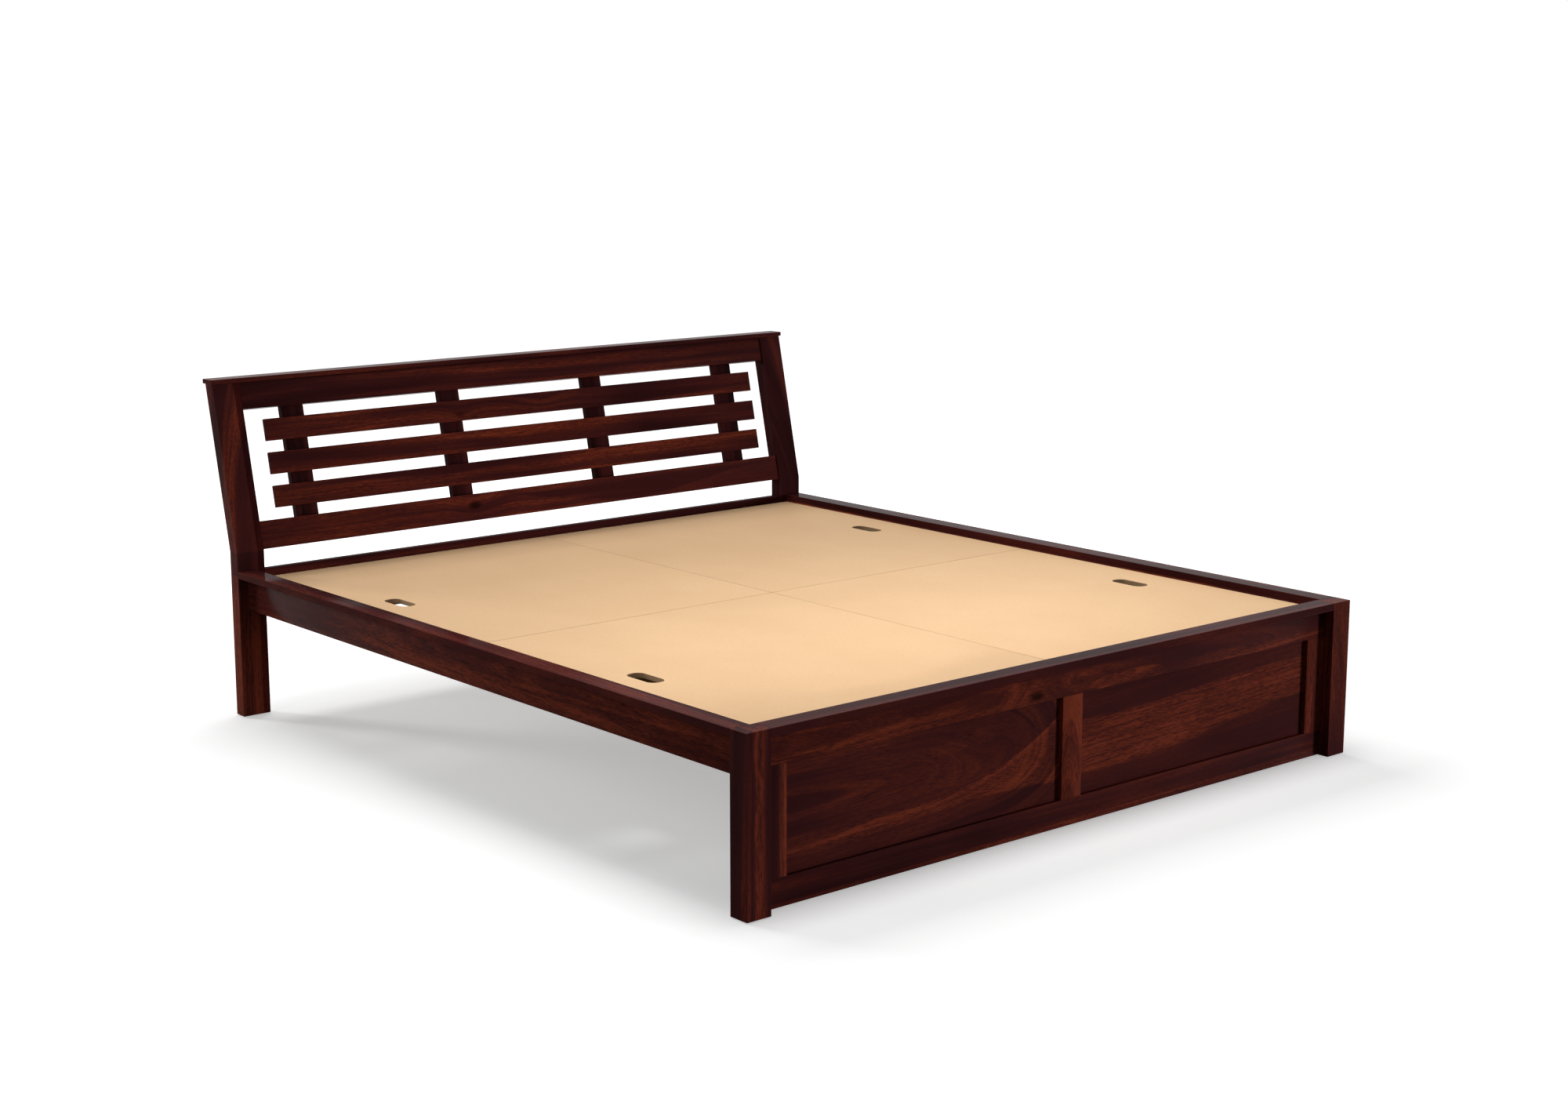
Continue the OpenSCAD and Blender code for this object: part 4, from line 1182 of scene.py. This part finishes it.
def modelIron():
    leg, thick, height = ironPlace["leg"], ironPlace["thickness"], ironPlace["height"]
    hair = 1e-5
    iron = sawBlock("iron", (0, 0, 0), (leg, thick, height))
    splitAt(iron, (thick, 0, 0), (1, 0, 0))
    pickFaces(iron, lambda centre, normal: normal.y > 0.9 and centre.x < thick)
    pull((0, leg - thick, 0))

    def isBend(edge):
        a = edge.verts[0].co
        return isUpright(edge) and abs(a.x - thick) < hair and abs(a.y - thick) < hair

    def isTip(edge):
        a, b = (v.co for v in edge.verts)
        flat = abs(a.z - b.z) < hair and (a.z < hair or a.z > height - hair)
        return flat and (min(a.x, b.x) > leg - hair or min(a.y, b.y) > leg - hair)

    roundEdges(iron, isBend, ironPlace["bendRadius"], 4)
    roundEdges(iron, isTip, ironPlace["tipRadius"], 5)
    leaveMesh()
    for d in (ironPlace["near"], ironPlace["far"]):
        drill(iron, [(d, thick, height / 2)], (0, -1, 0), sinkWidth, ironPlace["sinkDepth"], sides=24)
        drill(iron, [(thick, d, height / 2)], (-1, 0, 0), sinkWidth, ironPlace["sinkDepth"], sides=24)
    easeEdges(iron, ease["steel"], shortest=0.002)
    return iron


def modelScrew(length):
    clearSelection()
    headHeight = screwLook["headHeight"]
    bpy.ops.mesh.primitive_cone_add(vertices=20, radius1=screwLook["head"] / 2,
        radius2=screwLook["shank"] / 2, depth=headHeight, location=(0, 0, headHeight / 2))
    screw = bpy.context.object
    bpy.ops.object.transform_apply()
    pickFaces(screw, lambda centre, normal: normal.z > 0.9)
    shank = length - screwLook["tip"] - headHeight
    pull((0, 0, shank))
    pull((0, 0, screwLook["tip"]))
    bpy.ops.transform.resize(value=(0.25, 0.25, 1), center_override=(0, 0, length))
    leaveMesh()
    half, long = screwLook["slot"] / 2, screwLook["slotLength"] / 2
    chop(screw, (-half, -long, -0.001), (half, long, screwLook["slotDepth"]))
    chop(screw, (-long, -half, -0.001), (long, half, screwLook["slotDepth"]))
    return screw


def placeCopies(master, node, places, slot, finish):
    copies = []
    for matrix in places:
        copy = master.copy()
        copy.data = master.data.copy()
        bpy.context.scene.collection.objects.link(copy)
        copy.matrix_world = matrix
        copies.append(copy)
    clearSelection()
    for copy in copies:
        copy.select_set(True)
    bpy.context.view_layer.objects.active = copies[0]
    bpy.ops.object.transform_apply()
    bpy.ops.object.join()
    piece = bpy.context.object
    piece.name = node + "_" + slot.split("_")[-1]
    bpy.data.objects.remove(master)
    editMesh()
    bpy.ops.mesh.select_all(action="SELECT")
    bpy.ops.mesh.normals_make_consistent(inside=False)
    leaveMesh()
    settle(piece, node, "frame", finish)


def pointing(place, direction):
    matrix = Vector(direction).to_track_quat("Z", "Y").to_matrix().to_4x4()
    matrix.translation = place
    return matrix


corners = [(side, end) for side in (-1, 1) for end in (-1, 1)]
ironPlaces = []
ironScrews = []
for side, end in corners:
    corner = Vector((side * bed["recessHalf"], recessFoot if end < 0 else recessHead, ironPlace["low"]))
    ironPlaces.append(Matrix.Translation(corner) @ Matrix.Diagonal((-side, -end, 1, 1)))
    for d in (ironPlace["near"], ironPlace["far"]):
        up = ironPlace["height"] / 2
        ironScrews.append(pointing(corner + Vector((-side * d, -end * ironPlace["thickness"], up)),
            (0, end, 0)))
        ironScrews.append(pointing(corner + Vector((-side * ironPlace["thickness"], -end * d, up)),
            (side, 0, 0)))
placeCopies(modelIron(), "corner_irons", ironPlaces, "zinc_steel", zinc)
placeCopies(modelScrew(screwLook["irons"]), "corner_screws", ironScrews, "zinc_steel", zinc)

ledgerScrews = []
for side in (-1, 1):
    ledgerScrews += [pointing((side * ledgerInner, y, screwZ), (side, 0, 0)) for y in sideScrewPlaces]
for end, y in ((-1, recessFoot + support["ledgerThickness"]), (1, recessHead - support["ledgerThickness"])):
    ledgerScrews += [pointing((x, y, screwZ), (0, end, 0)) for x in endScrewPlaces]
placeCopies(modelScrew(screwLook["ledgers"]), "ledger_screws", ledgerScrews, "zinc_steel", zinc)

tilted = Matrix.Rotation(-bed["leanAngle"], 4, "X")
leaning = Matrix.Translation(bendLine) @ tilted @ Matrix.Translation(-bendLine)
slatScrews = [leaning @ pointing(place, (0, -1, 0))
    for x in headEnd["uprightPlaces"] for place in slatScrewPlaces(x)]
placeCopies(modelScrew(screwLook["slats"]), "slat_screws", slatScrews, "zinc_steel", zinc)

glide = {"radius": 0.013, "thickness": 0.002, "pin": 0.002, "pinLength": 0.014, "rim": 0.0012,
    "hollowRim": 0.006, "hollow": 0.0006}


def modelGlide():
    clearSelection()
    bpy.ops.mesh.primitive_cylinder_add(vertices=40, radius=glide["radius"], depth=glide["thickness"],
        location=(0, 0, glide["thickness"] / 2))
    disc = bpy.context.object
    bpy.ops.object.transform_apply()
    pickFaces(disc, lambda centre, normal: normal.z < -0.9)
    bpy.ops.mesh.inset(thickness=glide["rim"])
    bpy.ops.mesh.inset(thickness=glide["hollowRim"])
    pull((0, 0, glide["hollow"]))
    pickFaces(disc, lambda centre, normal: normal.z > 0.9)
    bpy.ops.mesh.inset(thickness=glide["radius"] - glide["pin"])
    pull((0, 0, glide["pinLength"]))
    leaveMesh()
    easeEdges(disc, ease["panel"], shortest=0.0018)
    return disc


feet = ((footPostCentre, footFace + bed["footPostDepth"] / 2),
    (headPostCentre, recessHead + bed["headPostDepth"] / 2))
glidePlaces = [Matrix.Translation((side * x, y, 0)) for side in (-1, 1) for x, y in feet]
glidePlaces += [Matrix.Translation((0, y, 0)) for y in legPlaces]
placeCopies(modelGlide(), "floor_glides", glidePlaces, "glide_plastic", glidePlastic)

for node in ("cap_dowels", "head_cap_dowels"):
    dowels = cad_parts[node]
    dowels.data.materials.clear()
    dowels.data.materials.append(woodFinish(node + "_finish", dowels, supportLook("z", 71.3), rawWood))
print("hardware done")

# Floor, world, lights and camera

studio = {
    "floorColour": (0.86, 0.86, 0.86, 1),
    "floorBounce": (0.12, 0.12, 0.12, 1),
    "floorLift": 0.42,
    "ambient": 0.10,
    "cameraPlace": (-3.8528, -4.6338, 1.6387),
    "cameraTurn": (math.radians(79.13), 0, math.radians(-40.305)),
    "lens": 55.15,
}


# How far a ray is one that the eye follows: straight from the camera or off a glossy face
def seenRay():
    path = newNode("LightPath")
    return calc("MAXIMUM", path.outputs["Is Camera Ray"],
        calc("MAXIMUM", path.outputs["Is Glossy Ray"], path.outputs["Is Transmission Ray"]))


# The floor is white to the eye and keeps the soft shadow, and gives little light back to the bed
def floorFinish():
    finish, shader = newFinish("studio_floor_paint")
    seen = seenRay()
    x, y = parted(ownPlace())[:2]
    reach = distanceOf(x, y)
    lift = stretch(reach, 1.2, 3.2, studio["floorLift"], 1.0, smooth=True)
    feed(shader["Base Color"], blend(seen, studio["floorBounce"], studio["floorColour"]))
    feed(shader["Roughness"], 0.9)
    feed(shader["Specular IOR Level"], 0.0)
    feed(shader["Emission Color"], (1, 1, 1, 1))
    feed(shader["Emission Strength"], times(seen, lift))
    # clear from below, so the underside of the bed can be looked at
    feed(shader["Alpha"], minus(1.0, newNode("NewGeometry").outputs["Backfacing"]))
    return finish


clearSelection()
bpy.ops.mesh.primitive_plane_add(size=80, location=(0, 0, -0.0004))
floor = bpy.context.object
floor.name = "studio_floor"
floor.data.materials.append(floorFinish())

world = bpy.data.worlds.new("studio")
bpy.context.scene.world = world
world.use_nodes = True
bench["tree"] = world.node_tree
background = world.node_tree.nodes["Background"]
feed(background.inputs["Color"], (1, 1, 1, 1))
feed(background.inputs["Strength"], stretch(seenRay(), 0.0, 1.0, studio["ambient"], 1.0))

lamps = {
    "keyRight": {"place": (12.5, -13.5, 1.1), "size": (2.8, 1.4), "power": 1270, "aim": (0.0, -1.1, 0.3),
        "spread": 180, "glare": False},
    "sideLeft": {"place": (-3.3, 0.1, 1.2), "size": (1.2, 1.2), "power": 7.8, "aim": (-0.9, 0.0, 0.3),
        "spread": 180, "glare": True},
    "backLeft": {"place": (-2.9, 4.6, 1.6), "size": (0.8, 1.2), "power": 68, "aim": (-0.9, 0.6, 0.3),
        "spread": 180, "glare": True},
    "overFoot": {"place": (0.0, -0.85, 3.1), "size": (2.4, 0.9), "power": 7.7, "aim": (0.0, -0.75, 0.3),
        "spread": 60, "glare": True},
    "overHead": {"place": (0.0, 1.9, 4.2), "size": (3.5, 2.0), "power": 105, "aim": (0.0, 0.2, 0.4),
        "spread": 180, "glare": True},
}


def hangLamp(name, lamp):
    clearSelection()
    bpy.ops.object.light_add(type="AREA", location=lamp["place"])
    light = bpy.context.object
    light.name = name
    light.data.shape = "RECTANGLE"
    light.data.size, light.data.size_y = lamp["size"]
    light.data.energy = lamp["power"]
    light.data.spread = math.radians(lamp["spread"])
    light.visible_glossy = lamp["glare"]
    light.visible_camera = False
    light.rotation_euler = (Vector(lamp["aim"]) - Vector(lamp["place"])).to_track_quat("-Z", "Y").to_euler()


for name, lamp in lamps.items():
    hangLamp(name, lamp)

clearSelection()
bpy.ops.object.camera_add(location=studio["cameraPlace"], rotation=studio["cameraTurn"])
camera = bpy.context.object
camera.name = "photoCamera"
camera.data.lens = studio["lens"]
camera.data.sensor_width = 36
camera.data.clip_end = 200
bpy.context.scene.camera = camera
bpy.context.scene.view_settings.view_transform = "Standard"

clearSelection()
print("scene done")
